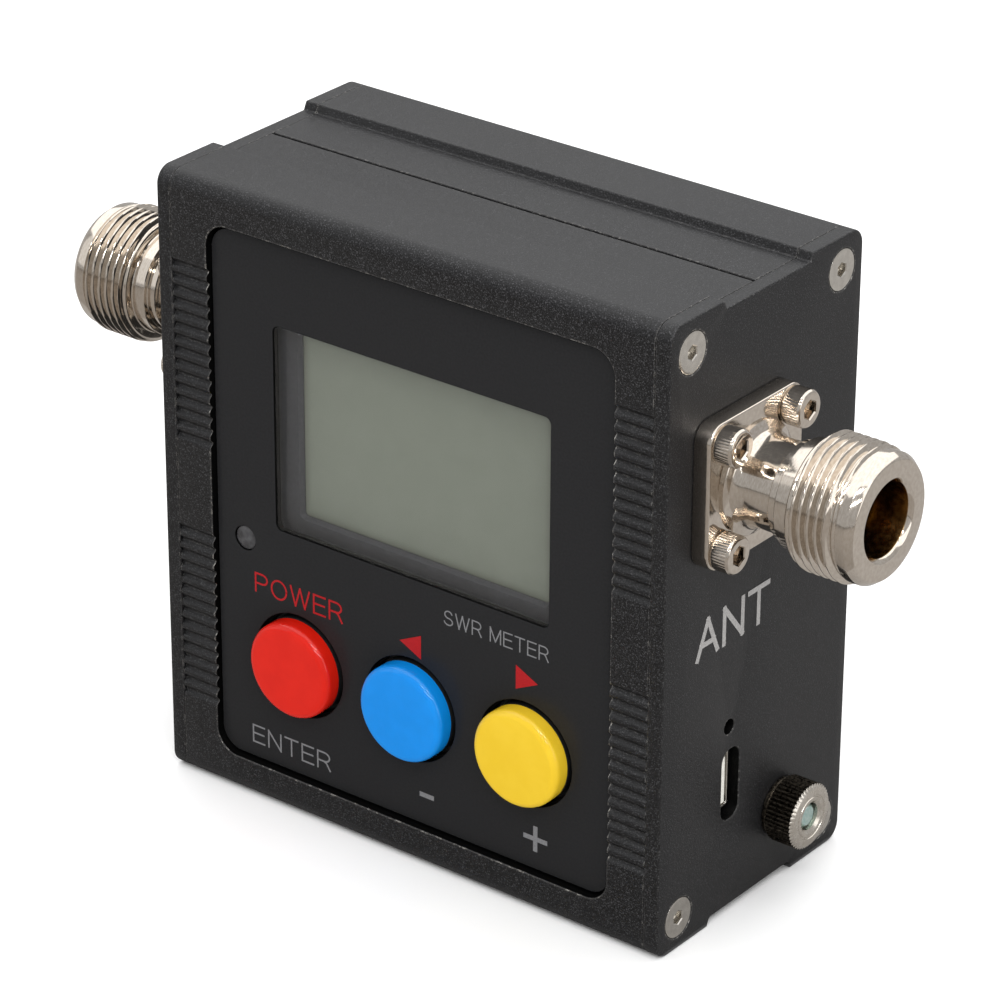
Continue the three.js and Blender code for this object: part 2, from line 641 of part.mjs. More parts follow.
function mainBoard() {
  const height = CASE_HEIGHT - 2 * (INNER_DROP + BOARD_GAP);
  const made = block(2 * (SHELL_X - SIDE_GAP), BOARD_T, height, 0, BOARD_FRONT + BOARD_T / 2, MIDDLE_Z);
  return piece('main_board', made, GREEN_BOARD);
}

const COUPLER_BOARD_Y = BOARD_BACK + COUPLER_BOARD_SETBACK;

function couplerBoard() {
  const middle = COUPLER_BOARD_Y + COUPLER_BOARD_T / 2;
  return piece('coupler_board', block(COUPLER_BOARD_W, COUPLER_BOARD_T, COUPLER_BOARD_H, 0, middle, SOCKET_Z),
    GREEN_BOARD);
}

function boardSpacers() {
  const half = [COUPLER_BOARD_W / 2 - SPACER_INSET, COUPLER_BOARD_H / 2 - SPACER_INSET];
  const corners = [-1, 1].flatMap((x) => [-1, 1].map((z) => [x * half[0], z * half[1]]));
  return corners.map(([x, z], i) => piece(`board_spacer_${i + 1}`,
    pegY(SPACER_R, x, SOCKET_Z + z, BOARD_BACK, COUPLER_BOARD_SETBACK, 6), NICKEL));
}

function battery() {
  const back = BACK_INNER - PAD_T;
  const shape = roundedRect(BATTERY_W, BATTERY_H, BATTERY_EDGE_R, 0, MIDDLE_Z);
  const [padW, padH] = [BATTERY_W - 2 * PAD_INSET, BATTERY_H - 2 * PAD_INSET];
  const padShape = roundedRect(padW, padH, BATTERY_EDGE_R, 0, MIDDLE_Z);
  return [
    piece('battery', alongY(shape, back - BATTERY_T, BATTERY_T, 3), BATTERY_WRAP),
    piece('battery_pad', alongY(padShape, back, PAD_T, 3), FOAM),
  ];
}

// Outline of the USB socket in Y and Z: a flat box whose side against the board is narrower. The
// wall takes the same distance off every side.
function usbOutline(wall) {
  const [wide, narrow] = [USB_SHELL_H / 2 - wall, USB_SHELL_NARROW / 2 - wall];
  const [low, high] = [USB_Y - USB_SHELL_T / 2 + wall, USB_Y + USB_SHELL_T / 2 - wall];
  const half = [[high, -wide], [USB_Y, -wide], [low, -narrow]];
  const other = [...half].reverse().map(([y, z]) => [y, -z]);
  return polygon([...half, ...other].map(([y, z]) => [y, USB_HEIGHT + z]));
}

function chargingBoard() {
  const width = CHARGE_BOARD_W;
  const middleX = SHELL_X - SIDE_GAP - width / 2;
  const board = block(width, CHARGE_BOARD_T, CHARGE_BOARD_H, middleX, BOARD_BACK + CHARGE_BOARD_T / 2,
    USB_HEIGHT + CHARGE_BOARD_RISE);
  const mouth = PLATE_X - USB_RECESS;
  const back = mouth - USB_SHELL_LENGTH;
  const shell = alongX(usbOutline(0), back, USB_SHELL_LENGTH);
  const hollow = alongX(usbOutline(USB_SHELL_WALL), back + USB_SHELL_WALL, USB_SHELL_LENGTH);
  const tongueLength = USB_SHELL_LENGTH - 3 * USB_SHELL_WALL;
  const tongueX = back + USB_SHELL_WALL + tongueLength / 2;
  const tongue = block(tongueLength, USB_TONGUE_T, USB_TONGUE_W, tongueX, USB_Y, USB_HEIGHT);
  const light = block(CHARGE_LIGHT_SIDE, CHARGE_LIGHT_SIDE, CHARGE_LIGHT_SIDE,
    SHELL_X - SIDE_GAP - CHARGE_LIGHT_SIDE / 2, CHARGE_HOLE_Y, CHARGE_HOLE_Z);
  return [
    piece('charging_board', board, GREEN_BOARD),
    piece('usb_socket_shell', cut(shell, hollow), STEEL),
    piece('usb_socket_tongue', tongue, BLACK_PLASTIC),
    piece('charge_light', light, WHITE_PLASTIC),
  ];
}

// ---- Coaxial sockets ---------------------------------------------------------------------------

const THREAD_END = THREAD_X + THREAD_TURNS * THREAD_PITCH;

// Thread crests and roots as rings, from the root at x = THREAD_X towards the nose.
function threadRun() {
  return [...Array(THREAD_TURNS).keys()].flatMap((turn) => {
    const x = THREAD_X + turn * THREAD_PITCH;
    return [[x + THREAD_PITCH / 2, THREAD_R], [x + THREAD_PITCH, THREAD_ROOT_R]];
  });
}

function socketBody(name) {
  const bore = INSULATOR_R + INSULATOR_GAP;
  const profile = [[-PLATE_T, bore], [-PLATE_T, BOSS_R], [0, BOSS_R], [0, FOOT_R],
    [FLANGE_T + FOOT_T, FOOT_R], [FLANGE_T + FOOT_T + FOOT_R - BARREL_R, BARREL_R],
    [STEP_X, BARREL_R], [STEP_X, STEP_R], [COLLAR_X, STEP_R], [COLLAR_X, COLLAR_R],
    [THREAD_X, COLLAR_R], [THREAD_X, THREAD_ROOT_R], ...threadRun(), [THREAD_END, NOSE_R],
    [SOCKET_LENGTH - NOSE_CHAMFER, NOSE_R],
    [SOCKET_LENGTH, NOSE_FACE_R], [SOCKET_LENGTH, BORE_R + BORE_CHAMFER],
    [SOCKET_LENGTH - BORE_CHAMFER, BORE_R], [BORE_FLOOR, BORE_R], [BORE_FLOOR, bore], [-PLATE_T, bore]];
  const flangeShape = roundedRect(FLANGE_SIDE, FLANGE_SIDE, FLANGE_CORNER_R);
  const flange = alongX(flangeShape, 0, FLANGE_T, 5);
  const core = pegX(BARREL_R, 0, 0, -1, FLANGE_T + 2);
  const holeR = CAP_SCREW_SHANK_R + SCREW_GAP;
  const holes = FLANGE_SCREW_PLACES.map(([y, z]) => pegX(holeR, y, z, -1, FLANGE_T + 2, COARSE));
  const made = join(turned(profile, FINE), cut(flange, core, ...holes));
  return piece(`${name}_socket`, made, NICKEL);
}

function socketInsulator(name) {
  const hole = CONTACT_R + INSULATOR_GAP;
  const wide = BORE_R - INSULATOR_GAP;
  const front = BORE_FLOOR + INSULATOR_GAP;
  const profile = [[-PLATE_T, hole], [-PLATE_T, INSULATOR_R], [front, INSULATOR_R], [front, wide],
    [front + INSULATOR_T, wide], [front + INSULATOR_T, hole], [-PLATE_T, hole]];
  return piece(`${name}_socket_insulator`, turned(profile, MEDIUM), PTFE);
}

const CONTACT_END = -PLATE_T - CONTACT_TAIL;

function socketContact(name) {
  const tip = SOCKET_LENGTH - CONTACT_RECESS;
  const cup = CONTACT_TAIL / 2;
  const cupR = LINE_R + LINE_GAP;
  const profile = [[CONTACT_END + cup, 0], [CONTACT_END + cup, cupR], [CONTACT_END, cupR],
    [CONTACT_END, CONTACT_R], [tip, CONTACT_R], [tip, CONTACT_HOLE_R],
    [tip - CONTACT_HOLE_DEPTH, CONTACT_HOLE_R], [tip - CONTACT_HOLE_DEPTH, 0]];
  return piece(`${name}_socket_contact`, turned(profile, MEDIUM), GOLD);
}

function capScrew(name) {
  const profile = [[-CAP_SCREW_LENGTH, 0], [-CAP_SCREW_LENGTH, CAP_SCREW_SHANK_R], [0, CAP_SCREW_SHANK_R],
    [0, CAP_SCREW_HEAD_R], [CAP_SCREW_HEAD_H - CAP_SCREW_EDGE, CAP_SCREW_HEAD_R],
    [CAP_SCREW_HEAD_H, CAP_SCREW_HEAD_R - CAP_SCREW_EDGE], [CAP_SCREW_HEAD_H, 0]];
  const start = CAP_SCREW_HEAD_H - CAP_SCREW_SOCKET_DEPTH;
  const socket = alongX(hexagon(CAP_SCREW_SOCKET), start, CAP_SCREW_SOCKET_DEPTH + 1);
  return piece(name, cut(turned(profile, COARSE), socket), STEEL);
}

// A whole socket with its screws, on the axis +X, its flange against x = 0.
function coaxialSocket(name) {
  const group = new THREE.Group();
  group.add(socketBody(name), socketInsulator(name), socketContact(name));
  FLANGE_SCREW_PLACES.forEach(([y, z], i) => {
    const screw = capScrew(`${name}_flange_screw_${i + 1}`);
    screw.position.set(FLANGE_T, y, z);
    group.add(screw);
  });
  return group;
}

function coaxialSockets() {
  const antenna = coaxialSocket('antenna');
  antenna.position.set(PLATE_X, SOCKET_Y, SOCKET_Z);
  const transmitter = coaxialSocket('transmitter');
  transmitter.position.set(-PLATE_X, SOCKET_Y, SOCKET_Z);
  transmitter.rotation.z = Math.PI;
  return [antenna, transmitter];
}

function throughLine() {
  const group = new THREE.Group();
  const reach = PLATE_X + CONTACT_END + CONTACT_TAIL / 2 - SIDE_GAP;
  group.position.set(0, SOCKET_Y, SOCKET_Z);
  group.add(piece('through_line', pegX(LINE_R, 0, 0, -reach, 2 * reach, COARSE), COPPER));
  for (const [name, x] of [['reflected', -CORE_OFFSET], ['forward', CORE_OFFSET]]) {
    const inner = LINE_R + LINE_GAP;
    const profile = [[-CORE_LENGTH / 2, inner], [-CORE_LENGTH / 2, CORE_R], [CORE_LENGTH / 2, CORE_R],
      [CORE_LENGTH / 2, inner], [-CORE_LENGTH / 2, inner]];
    const core = piece(`${name}_ferrite_core`, turned(profile, MEDIUM), FERRITE);
    core.position.x = x;
    group.add(core);
  }
  return group;
}

// ---- Earth terminal ----------------------------------------------------------------------------

const STUD_END = WASHER_T + NUT_LENGTH - STUD_RECESS;

function earthStud() {
  const headEnd = -PLATE_T - STUD_HEAD_T;
  const profile = [[headEnd, 0], [headEnd, STUD_HEAD_R], [-PLATE_T, STUD_HEAD_R], [-PLATE_T, STUD_R],
    [STUD_END - NUT_CHAMFER, STUD_R], [STUD_END, STUD_R - NUT_CHAMFER], [STUD_END, 0]];
  return piece('earth_stud', turned(profile, MEDIUM), ZINC);
}

function earthWasher() {
  const hole = STUD_R + NUT_GAP;
  const profile = [[0, hole], [0, WASHER_R], [WASHER_T, WASHER_R], [WASHER_T, hole], [0, hole]];
  return piece('earth_washer', turned(profile, MEDIUM), NICKEL);
}

// Round nut with a straight knurl: a toothed outline carried along the axis, its ends chamfered by
// a turned envelope, and a countersunk hole.
function earthNut() {
  const teeth = [...Array(2 * NUT_TEETH).keys()].map((i) => {
    const angle = Math.PI * i / NUT_TEETH;
    const radius = NUT_R - (i % 2) * NUT_TOOTH_H;
    return [radius * Math.cos(angle), radius * Math.sin(angle)];
  });
  const start = WASHER_T;
  const end = WASHER_T + NUT_LENGTH;
  const envelopeR = NUT_R + 0.1;
  const hole = STUD_R + NUT_GAP;
  const envelope = turned([[start, hole], [start, NUT_R - NUT_CHAMFER], [start + NUT_CHAMFER, envelopeR],
    [end - NUT_CHAMFER, envelopeR], [end, NUT_R - NUT_CHAMFER], [end, hole + NUT_CHAMFER],
    [end - NUT_CHAMFER, hole], [start, hole]], FINE);
  return piece('earth_nut', alongX(polygon(teeth), start, NUT_LENGTH).intersect(envelope), NICKEL);
}

function earthTerminal() {
  const group = new THREE.Group();
  group.position.set(PLATE_X, STUD_BEHIND_MIDDLE, STUD_HEIGHT);
  group.add(earthStud(), earthWasher(), earthNut());
  return group;
}

// ---- The whole meter ---------------------------------------------------------------------------

const meter = new THREE.Group();
// The key caps stand proud of the case, so the middle of the whole lies in front of the case's own.
meter.position.y = (FRONT - CAP_FRONT) / 2;
meter.add(frontShell(), rearShell(), leftPlate(), rightPlate());
meter.add(...plateScrews(1, 'right'), ...plateScrews(-1, 'left'));
meter.add(labelPanel(), displayWindow(), displayFrame(), displayGlass(), displayBacklight(), statusLight());
meter.add(...keys());
meter.add(mainBoard(), couplerBoard(), ...boardSpacers(), ...battery());
meter.add(...chargingBoard());
meter.add(...coaxialSockets(), throughLine());
meter.add(earthTerminal());

export default meter;
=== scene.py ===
"""Looks of a handheld SWR meter: every new piece is a surface worked out with numpy and set in place
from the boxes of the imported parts. Shapes are worked out in millimetres and stored in metres."""

import math

import bmesh
import bpy
import numpy as np
from mathutils import Matrix, Vector, geometry


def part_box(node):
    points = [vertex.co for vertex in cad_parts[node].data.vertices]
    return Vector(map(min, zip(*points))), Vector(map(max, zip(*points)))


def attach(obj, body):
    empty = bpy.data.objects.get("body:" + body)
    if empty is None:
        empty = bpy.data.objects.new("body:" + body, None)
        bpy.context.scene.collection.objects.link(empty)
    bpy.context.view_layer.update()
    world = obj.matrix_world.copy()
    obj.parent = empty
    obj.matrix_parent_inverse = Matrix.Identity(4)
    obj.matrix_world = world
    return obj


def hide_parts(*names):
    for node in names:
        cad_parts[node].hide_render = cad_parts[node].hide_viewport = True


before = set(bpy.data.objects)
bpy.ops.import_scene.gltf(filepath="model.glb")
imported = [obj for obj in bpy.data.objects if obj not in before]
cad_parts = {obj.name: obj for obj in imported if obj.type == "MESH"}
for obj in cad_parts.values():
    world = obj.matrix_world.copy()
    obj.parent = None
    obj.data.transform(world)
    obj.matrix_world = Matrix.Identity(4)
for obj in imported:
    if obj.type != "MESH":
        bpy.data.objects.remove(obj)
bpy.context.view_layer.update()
MM = 0.001
WELD = 2e-7                  # m, how near two points are welded into one
TAU = 2 * math.pi
SQUARE = 0.99999             # a normal's part along an axis, above which a face is square to it


def span(node):
    """Lowest and highest corner of a CAD node, in millimetres."""
    low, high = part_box(node)
    return np.array(low) / MM, np.array(high) / MM


def middle(node):
    """Middle of a CAD node's box, in millimetres."""
    low, high = span(node)
    return (low + high) / 2


# ---- Outlines: arrays of (u, v) points, anticlockwise ----

def ring(radius, u=0.0, v=0.0, steps=64):
    """A circle: centre + radius (cos t, sin t) at equal steps of t."""
    t = np.arange(steps) * TAU / steps
    return np.column_stack([u + radius * np.cos(t), v + radius * np.sin(t)])


def rounded(corners):
    """The corners (u, v, radius) of a closed outline, each turned into a circular arc that is
    tangent to both of its sides. One array of points for each corner."""
    at = np.array([c[:2] for c in corners], float)
    radius = np.array([c[2] for c in corners], float)
    unit = lambda v: v / np.linalg.norm(v, axis=1)[:, None]
    before, after = unit(at - np.roll(at, 1, 0)), unit(np.roll(at, -1, 0) - at)
    cross = before[:, 0] * after[:, 1] - before[:, 1] * after[:, 0]
    turn = np.arctan2(cross, (before * after).sum(1))
    start = at - before * (radius * np.tan(np.abs(turn) / 2))[:, None]
    left = np.column_stack([-before[:, 1], before[:, 0]])
    centre = start + left * (radius * np.sign(turn))[:, None]
    chunks = []
    for p, c, s, a, r in zip(at, centre, start, turn, radius):
        steps = max(3, math.ceil(abs(a) * 8 * min(r, 2.0) ** 0.3)) if r > 0 else 0
        t = np.linspace(0, a, steps + 1)
        arm = s - c
        arc = np.column_stack([arm[0] * np.cos(t) - arm[1] * np.sin(t),
                               arm[0] * np.sin(t) + arm[1] * np.cos(t)]) + c
        chunks.append(arc if r > 0 else p[None])
    return chunks


def round_box(width, height, radius, u=0.0, v=0.0):
    """A rectangle about (u, v) with circular corners."""
    a, b = width / 2, height / 2
    return np.vstack(rounded([(u - a, v - b, radius), (u + a, v - b, radius),
                              (u + a, v + b, radius), (u - a, v + b, radius)]))


def inset(outline, distance):
    """Every point moves along the mitre of its two sides, to the left of the way round."""
    side = np.roll(outline, -1, 0) - outline
    normal = np.column_stack([-side[:, 1], side[:, 0]])
    normal /= np.linalg.norm(normal, axis=1)[:, None]
    before = np.roll(normal, 1, 0)
    mitre = (normal + before) / (1 + (normal * before).sum(1))[:, None]
    return outline + distance * mitre


def eased(top, bottom, top_round, bottom_round=0.0):
    """Steps (height, inset) down the side of a plate: a quarter circle at its top edge, a straight
    side, and a quarter circle at its bottom edge."""
    way = math.copysign(1, bottom - top)
    t = np.linspace(0, math.pi / 2, 4)
    upper = np.column_stack([top + way * top_round * (1 - np.cos(t)), top_round * (1 - np.sin(t))])
    lower = np.column_stack([bottom - way * bottom_round * (1 - np.cos(t)),
                             bottom_round * (1 - np.sin(t))])[::-1]
    return np.vstack([upper[: 4 if top_round else 1], lower[-4 if bottom_round else -1:]])


# ---- Surfaces: points (N, 3) and faces ----

def fill(polygons, keep):
    """Triangles of the plane cut by all the polygons; keep says from the polygons that a triangle
    lies in whether it stays. Gives the points, the triangles and the given points behind each point."""
    sizes = np.cumsum([0] + [len(p) for p in polygons])
    points = np.vstack(polygons)
    faces = [list(range(a, b)) for a, b in zip(sizes[:-1], sizes[1:])]
    made = geometry.delaunay_2d_cdt([Vector(p) for p in points], [], faces, 0, 1e-5)
    triangles = [t for t, inside in zip(made[2], made[5]) if inside and keep(inside)]
    return np.array([tuple(p) for p in made[0]]), triangles, made[3]


def quads(rows, columns, start=0):
    """Faces of a grid of points stored row by row; the last column joins the first."""
    i, j = np.meshgrid(np.arange(rows - 1), np.arange(columns), indexing="ij")
    i, j = i.ravel(), j.ravel()
    k = (j + 1) % columns
    grid = np.column_stack([i * columns + j, i * columns + k, (i + 1) * columns + k, (i + 1) * columns + j])
    return (grid + start).tolist()


def slab(loops):
    """A plate with holes. loops holds (outline, steps): the outside first, anticlockwise, then the
    holes, anticlockwise too. Each loop is carried down its own steps of (height, inset), an inset
    going into the material, and flat faces close the first and the last height."""
    points, faces, rims = [], [], ([], [])
    count = 0
    for i, (outline, steps) in enumerate(loops):
        sign, n = 1 if i == 0 else -1, len(outline)
        rows = [np.column_stack([inset(outline, sign * d), np.full(n, h)]) for h, d in steps]
        faces += quads(len(rows), n, count)
        last = count + n * (len(rows) - 1)
        for rim, row, first in ((rims[0], rows[0], count), (rims[1], rows[-1], last)):
            rim.append((row[:, :2], np.arange(first, first + n)))
        points += rows
        count += n * len(rows)
    for rim in rims:
        numbers = np.concatenate([n for _, n in rim])
        _, triangles, origin = fill([p for p, _ in rim], lambda inside: inside == [0])
        faces += [[int(numbers[origin[v][0]]) for v in t] for t in triangles]
    return np.vstack(points), faces


def turned(profile, steps=96):
    """A profile of rows (along, radius) carried round an axis: (along, r cos t, r sin t). A radius
    may be a function of t, as for a hexagon or a knurl."""
    t = np.arange(steps) * TAU / steps
    radius = np.array([r(t) if callable(r) else np.full(steps, float(r)) for _, r in profile])
    along = np.array([a for a, _ in profile], float)[:, None] + 0 * radius
    points = np.stack([along, radius * np.cos(t), radius * np.sin(t)], 2).reshape(-1, 3)
    return points, quads(len(profile), steps)


def printed(polygons, thickness):
    """A thin layer of ink: the union of the polygons, carried through the thickness, with a wall
    along every edge that only one triangle has."""
    flat, triangles, _ = fill(polygons, bool)
    edges = np.array([(t[i], t[(i + 1) % 3]) for t in triangles for i in range(3)])
    ordered = np.sort(edges, 1)
    _, back, counts = np.unique(ordered, axis=0, return_inverse=True, return_counts=True)
    border = edges[counts[back.ravel()] == 1]
    n = len(flat)
    points = np.vstack([np.column_stack([flat, np.full(n, h)]) for h in (thickness, -thickness)])
    faces = [list(t) for t in triangles] + [[v + n for v in t[::-1]] for t in triangles]
    faces += np.column_stack([border[:, 1], border[:, 0], border[:, 0] + n, border[:, 1] + n]).tolist()
    return points, faces


def placed(shape, axis, at=(0, 0, 0)):
    """Turns a shape into the row frame. Plates are (u, v, height) and turned pieces (along, a, b);
    each axis word says which of them goes along X, Y and Z and with which sign."""
    points, faces = shape
    order, signs = {
        "plate X": ((2, 0, 1), (1, 1, 1)), "plate -X": ((2, 0, 1), (-1, -1, 1)),
        "plate Y": ((0, 2, 1), (1, 1, 1)), "plate -Y": ((0, 2, 1), (1, -1, 1)),
        "turned X": ((0, 1, 2), (1, 1, 1)), "turned -X": ((0, 1, 2), (-1, -1, 1)),
        "turned -Y": ((1, 0, 2), (1, -1, 1)),
    }[axis]
    return points[:, order] * signs + np.array(at, float), faces


def joined(*shapes):
    """Several shapes as one list of points and faces."""
    counts = np.cumsum([0] + [len(p) for p, _ in shapes])
    faces = [[v + int(n) for v in f] for n, (_, fs) in zip(counts, shapes) for f in fs]
    return np.vstack([p for p, _ in shapes]), faces


# ---- Pieces ----

def linked(name, data):
    """A new object of the scene."""
    thing = bpy.data.objects.new(name, data)
    bpy.context.scene.collection.objects.link(thing)
    return thing


def blank(name, shape):
    """An object at the origin whose mesh is the shape, welded, with its faces outwards."""
    points, faces = shape
    mesh = bpy.data.meshes.new(name)
    mesh.from_pydata((points * MM).tolist(), [], faces)
    made = bmesh.new()
    made.from_mesh(mesh)
    bmesh.ops.remove_doubles(made, verts=made.verts, dist=WELD)
    bmesh.ops.recalc_face_normals(made, faces=made.faces)
    made.to_mesh(mesh)
    made.free()
    return linked(name, mesh)


def carved(thing, *cutters):
    """The object less the shapes of the cutters."""
    tools = [blank("cutter", c) for c in cutters]
    for tool in tools:
        cut = thing.modifiers.new("cut", "BOOLEAN")
        cut.object, cut.operation, cut.solver = tool, "DIFFERENCE", "EXACT"
    view = bpy.context.evaluated_depsgraph_get()
    made = bpy.data.meshes.new_from_object(thing.evaluated_get(view))
    thing.modifiers.clear()
    thing.data = made
    for tool in tools:
        bpy.data.objects.remove(tool)
    return thing


def settled(thing, finish, node=None, body="case", crease=32):
    """Gives a piece its finish and shading, ties it to its body and hides the node that it stands
    for. Faces square to an axis are flat, the others are smooth up to the crease angle."""
    mesh = thing.data
    mesh.materials.clear()
    mesh.materials.append(finish)
    normals = np.empty(len(mesh.polygons) * 3, np.float32)
    mesh.polygons.foreach_get("normal", normals)
    smooth = np.abs(normals.reshape(-1, 3)).max(1) < SQUARE
    mesh.polygons.foreach_set("use_smooth", smooth)
    mesh.set_sharp_from_angle(angle=math.radians(crease))
    mesh.update()
    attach(thing, body)
    if node:
        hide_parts(node)
    return thing


def piece(name, shape, axis, at, finish, slot=None, node=None, body="case"):
    """A shape put in its place and settled."""
    return settled(blank(name, placed(shape, axis, at)), finish, node, body)


def second_finish(thing, finish, chosen):
    """Gives another finish to the faces that chosen(centres, normals) picks, the centres being in
    millimetres."""
    mesh = thing.data
    numbers = np.empty((2, len(mesh.polygons) * 3), np.float32)
    mesh.polygons.foreach_get("center", numbers[0])
    mesh.polygons.foreach_get("normal", numbers[1])
    picked = chosen(numbers[0].reshape(-1, 3) / MM, numbers[1].reshape(-1, 3))
    mesh.materials.append(finish)
    mesh.polygons.foreach_set("material_index", picked.astype(np.int32))
    return thing


# ---- Finishes ----

def srgb(code):
    """The linear colour of an sRGB hex code."""
    value = np.array([int(code[i:i + 2], 16) for i in (1, 3, 5)]) / 255
    linear = np.where(value <= 0.04045, value / 12.92, ((value + 0.055) / 1.055) ** 2.4)
    return (*linear.tolist(), 1.0)


def add(tree, kind, settings=None, wires=None):
    """Adds a node with its settings. A wire is a fixed value, the output that feeds that input, or a
    node, whose first output then feeds it."""
    made = tree.nodes.new("ShaderNode" + kind)
    for name, value in (settings or {}).items():
        setattr(made, name, value)
    for name, value in (wires or {}).items():
        if isinstance(value, bpy.types.Node):
            value = value.outputs[0]
        if isinstance(value, bpy.types.NodeSocket):
            tree.links.new(value, made.inputs[name])
        else:
            made.inputs[name].default_value = value
    return made


def blank_material(name):
    """A new material with an empty tree: the material, the tree and the place in object coordinates."""
    made = bpy.data.materials.new(name)
    made.use_nodes = True
    made.node_tree.nodes.clear()
    return made, made.node_tree, add(made.node_tree, "TexCoord").outputs["Object"]


def material(name, paint, **fixed):
    """A Principled surface. paint(tree, place) gives the inputs that vary over it, from the place in
    object coordinates; fixed holds those that are the same everywhere."""
    made, tree, place = blank_material(name)
    wires = {key.replace("_", " "): value for key, value in fixed.items()}
    wires.update(paint(tree, place))
    shader = add(tree, "BsdfPrincipled", wires=wires)
    add(tree, "OutputMaterial", wires={"Surface": shader})
    return made


def mottled(tree, place, colours, roughness, size, bump=0.0, stretch=(1, 1, 1), detail=2.0):
    """Noise of one grain size, in millimetres, that shifts the colour between two hex codes and the
    roughness between two values, and raises the surface by a bump height in millimetres."""
    scaled = add(tree, "Mapping", wires={"Vector": place, "Scale": stretch})
    noise = add(tree, "TexNoise", wires={"Vector": scaled, "Scale": 1 / (size * MM), "Detail": detail})
    share = add(tree, "MapRange", wires={
        "Value": noise.outputs["Fac"], "From Min": 0.35, "From Max": 0.65})
    colour = add(tree, "Mix", {"data_type": "RGBA"}, {
        0: share, 6: srgb(colours[0]), 7: srgb(colours[1])})
    rough = add(tree, "MapRange", wires={
        "Value": share, "To Min": roughness[0], "To Max": roughness[1]})
    wires = {"Base Color": colour.outputs[2], "Roughness": rough}
    if bump:
        raised = add(tree, "Bump", wires={
            "Height": noise.outputs["Fac"], "Distance": bump * MM, "Strength": 1.0})
        wires["Normal"] = raised
    return wires


def plain(name, colours, roughness, size, bump=0.0, stretch=(1, 1, 1), **fixed):
    """A finish with nothing but its mottling."""
    return material(name, lambda tree, place: mottled(
        tree, place, colours, roughness, size, bump, stretch), **fixed)


GRAIN = 0.15                 # mm, blasted grain; the real one is about 0.1 and is drawn coarser to show
CHIP = 0.5                   # mm, size of a chip in the anodised skin
EDGE = 0.3                   # mm, how far in from an edge the skin is lightened by a painted highlight and worn through in chips


def blasted_black(tree, place):
    """Black skin over blasted metal, with a few painted glints. Along the edges, where the normal of a
    slightly rounded edge leaves the true normal, it is lightened a little everywhere as a painted highlight,
    and worn through to bare metal in chips, where a coarse noise is high too."""
    wires = mottled(tree, place, ("#0d0d0e", "#29292b"), (0.36, 0.54), GRAIN, 0.035, detail=1.0)
    soft = add(tree, "Bevel", {"samples": 6}, {"Radius": EDGE * MM})
    true = add(tree, "NewGeometry").outputs["Normal"]
    same = add(tree, "VectorMath", {"operation": "DOT_PRODUCT"}, {0: soft, 1: true})
    edge = add(tree, "MapRange", wires={
        "Value": same.outputs["Value"], "From Min": 0.985, "From Max": 0.9})
    patch = add(tree, "TexNoise", wires={"Vector": place, "Scale": 1 / (CHIP * MM), "Detail": 3.0})
    # Never below 0.12 on an edge: every edge gets a faint painted highlight; where the noise is high it rises
    # to a chip of bare metal.
    chosen = add(tree, "MapRange", wires={
        "Value": patch.outputs["Fac"], "From Min": 0.54, "From Max": 0.62, "To Min": 0.12})
    chip_and_edge_highlight = add(tree, "Math", {"operation": "MULTIPLY"}, {0: edge, 1: chosen})
    # Painted glints: small spots of the colour pushed towards light grey.
    glint = add(tree, "TexNoise", wires={"Vector": place, "Scale": 1 / (GRAIN * MM), "Detail": 0.0})
    painted_glint_share = add(tree, "MapRange", wires={
        "Value": glint.outputs["Fac"], "From Min": 0.66, "From Max": 0.74, "To Max": 0.12})
    sparkling = add(tree, "Mix", {"data_type": "RGBA"}, {
        0: painted_glint_share, 6: wires["Base Color"], 7: srgb("#a0a0a2")})
    colour = add(tree, "Mix", {"data_type": "RGBA"}, {
        0: chip_and_edge_highlight, 6: sparkling.outputs[2], 7: srgb("#c9c6c0")})
    metal = add(tree, "MapRange", wires={"Value": chip_and_edge_highlight, "To Min": 0.35, "To Max": 1.0})
    wires.update({"Base Color": colour.outputs[2], "Metallic": metal})
    return wires


# Black anodised aluminium, bead blasted before anodising: a fine sparkle painted in as glints, edges
# lightened as a painted highlight, and a broad dull sheen.
ANODISED = material("bead_blasted_black_anodised_aluminium", blasted_black)
# Walls of the pocket and of the openings in the shells and plates: near black, painted shade of the deep
# gaps.
SHADED_WALL = plain("anodised_walls_painted_shade", ("#030303", "#060606"), (0.5, 0.6), 0.3, 0.002,
               Specular_IOR_Level=0.1)
# Edges of the label panel, round it and in its holes: black and dull, painted shade of the gaps round the
# panel and the keys.
SHADED_PANEL_EDGE = plain("panel_edges_painted_shade", ("#040404", "#070707"), (0.6, 0.7), 0.3, 0.004,
             Specular_IOR_Level=0.1)
# Printed polyester film on a plastic plate: near black, satin, with a faint blur of reflections.
PANEL = plain("printed_polyester_film", ("#232324", "#262627"), (0.2, 0.26), 0.3, 0.001,
              Specular_IOR_Level=0.07)
# Moulded ABS: dull, with the faint grain of the mould. Grey for the display's frame, white for the backlight
# and the charge light and, as a painted highlight, for the charging socket's tongue; black for the keys'
# plungers and switches and, as painted shade, for the caps below the panel.
GREY_ABS = plain("grey_moulded_ABS", ("#424347", "#494a4e"), (0.5, 0.6), 0.4, 0.01, Specular_IOR_Level=0.3)
WHITE_ABS_AND_HIGHLIGHT = plain("white_ABS_and_painted_highlight", ("#dcd9d0", "#e6e4dc"), (0.35, 0.45), 0.4, 0.006)
BLACK_ABS_AND_SHADE = plain("black_ABS_and_painted_shade", ("#161617", "#1f1f20"), (0.45, 0.55), 0.3, 0.01)
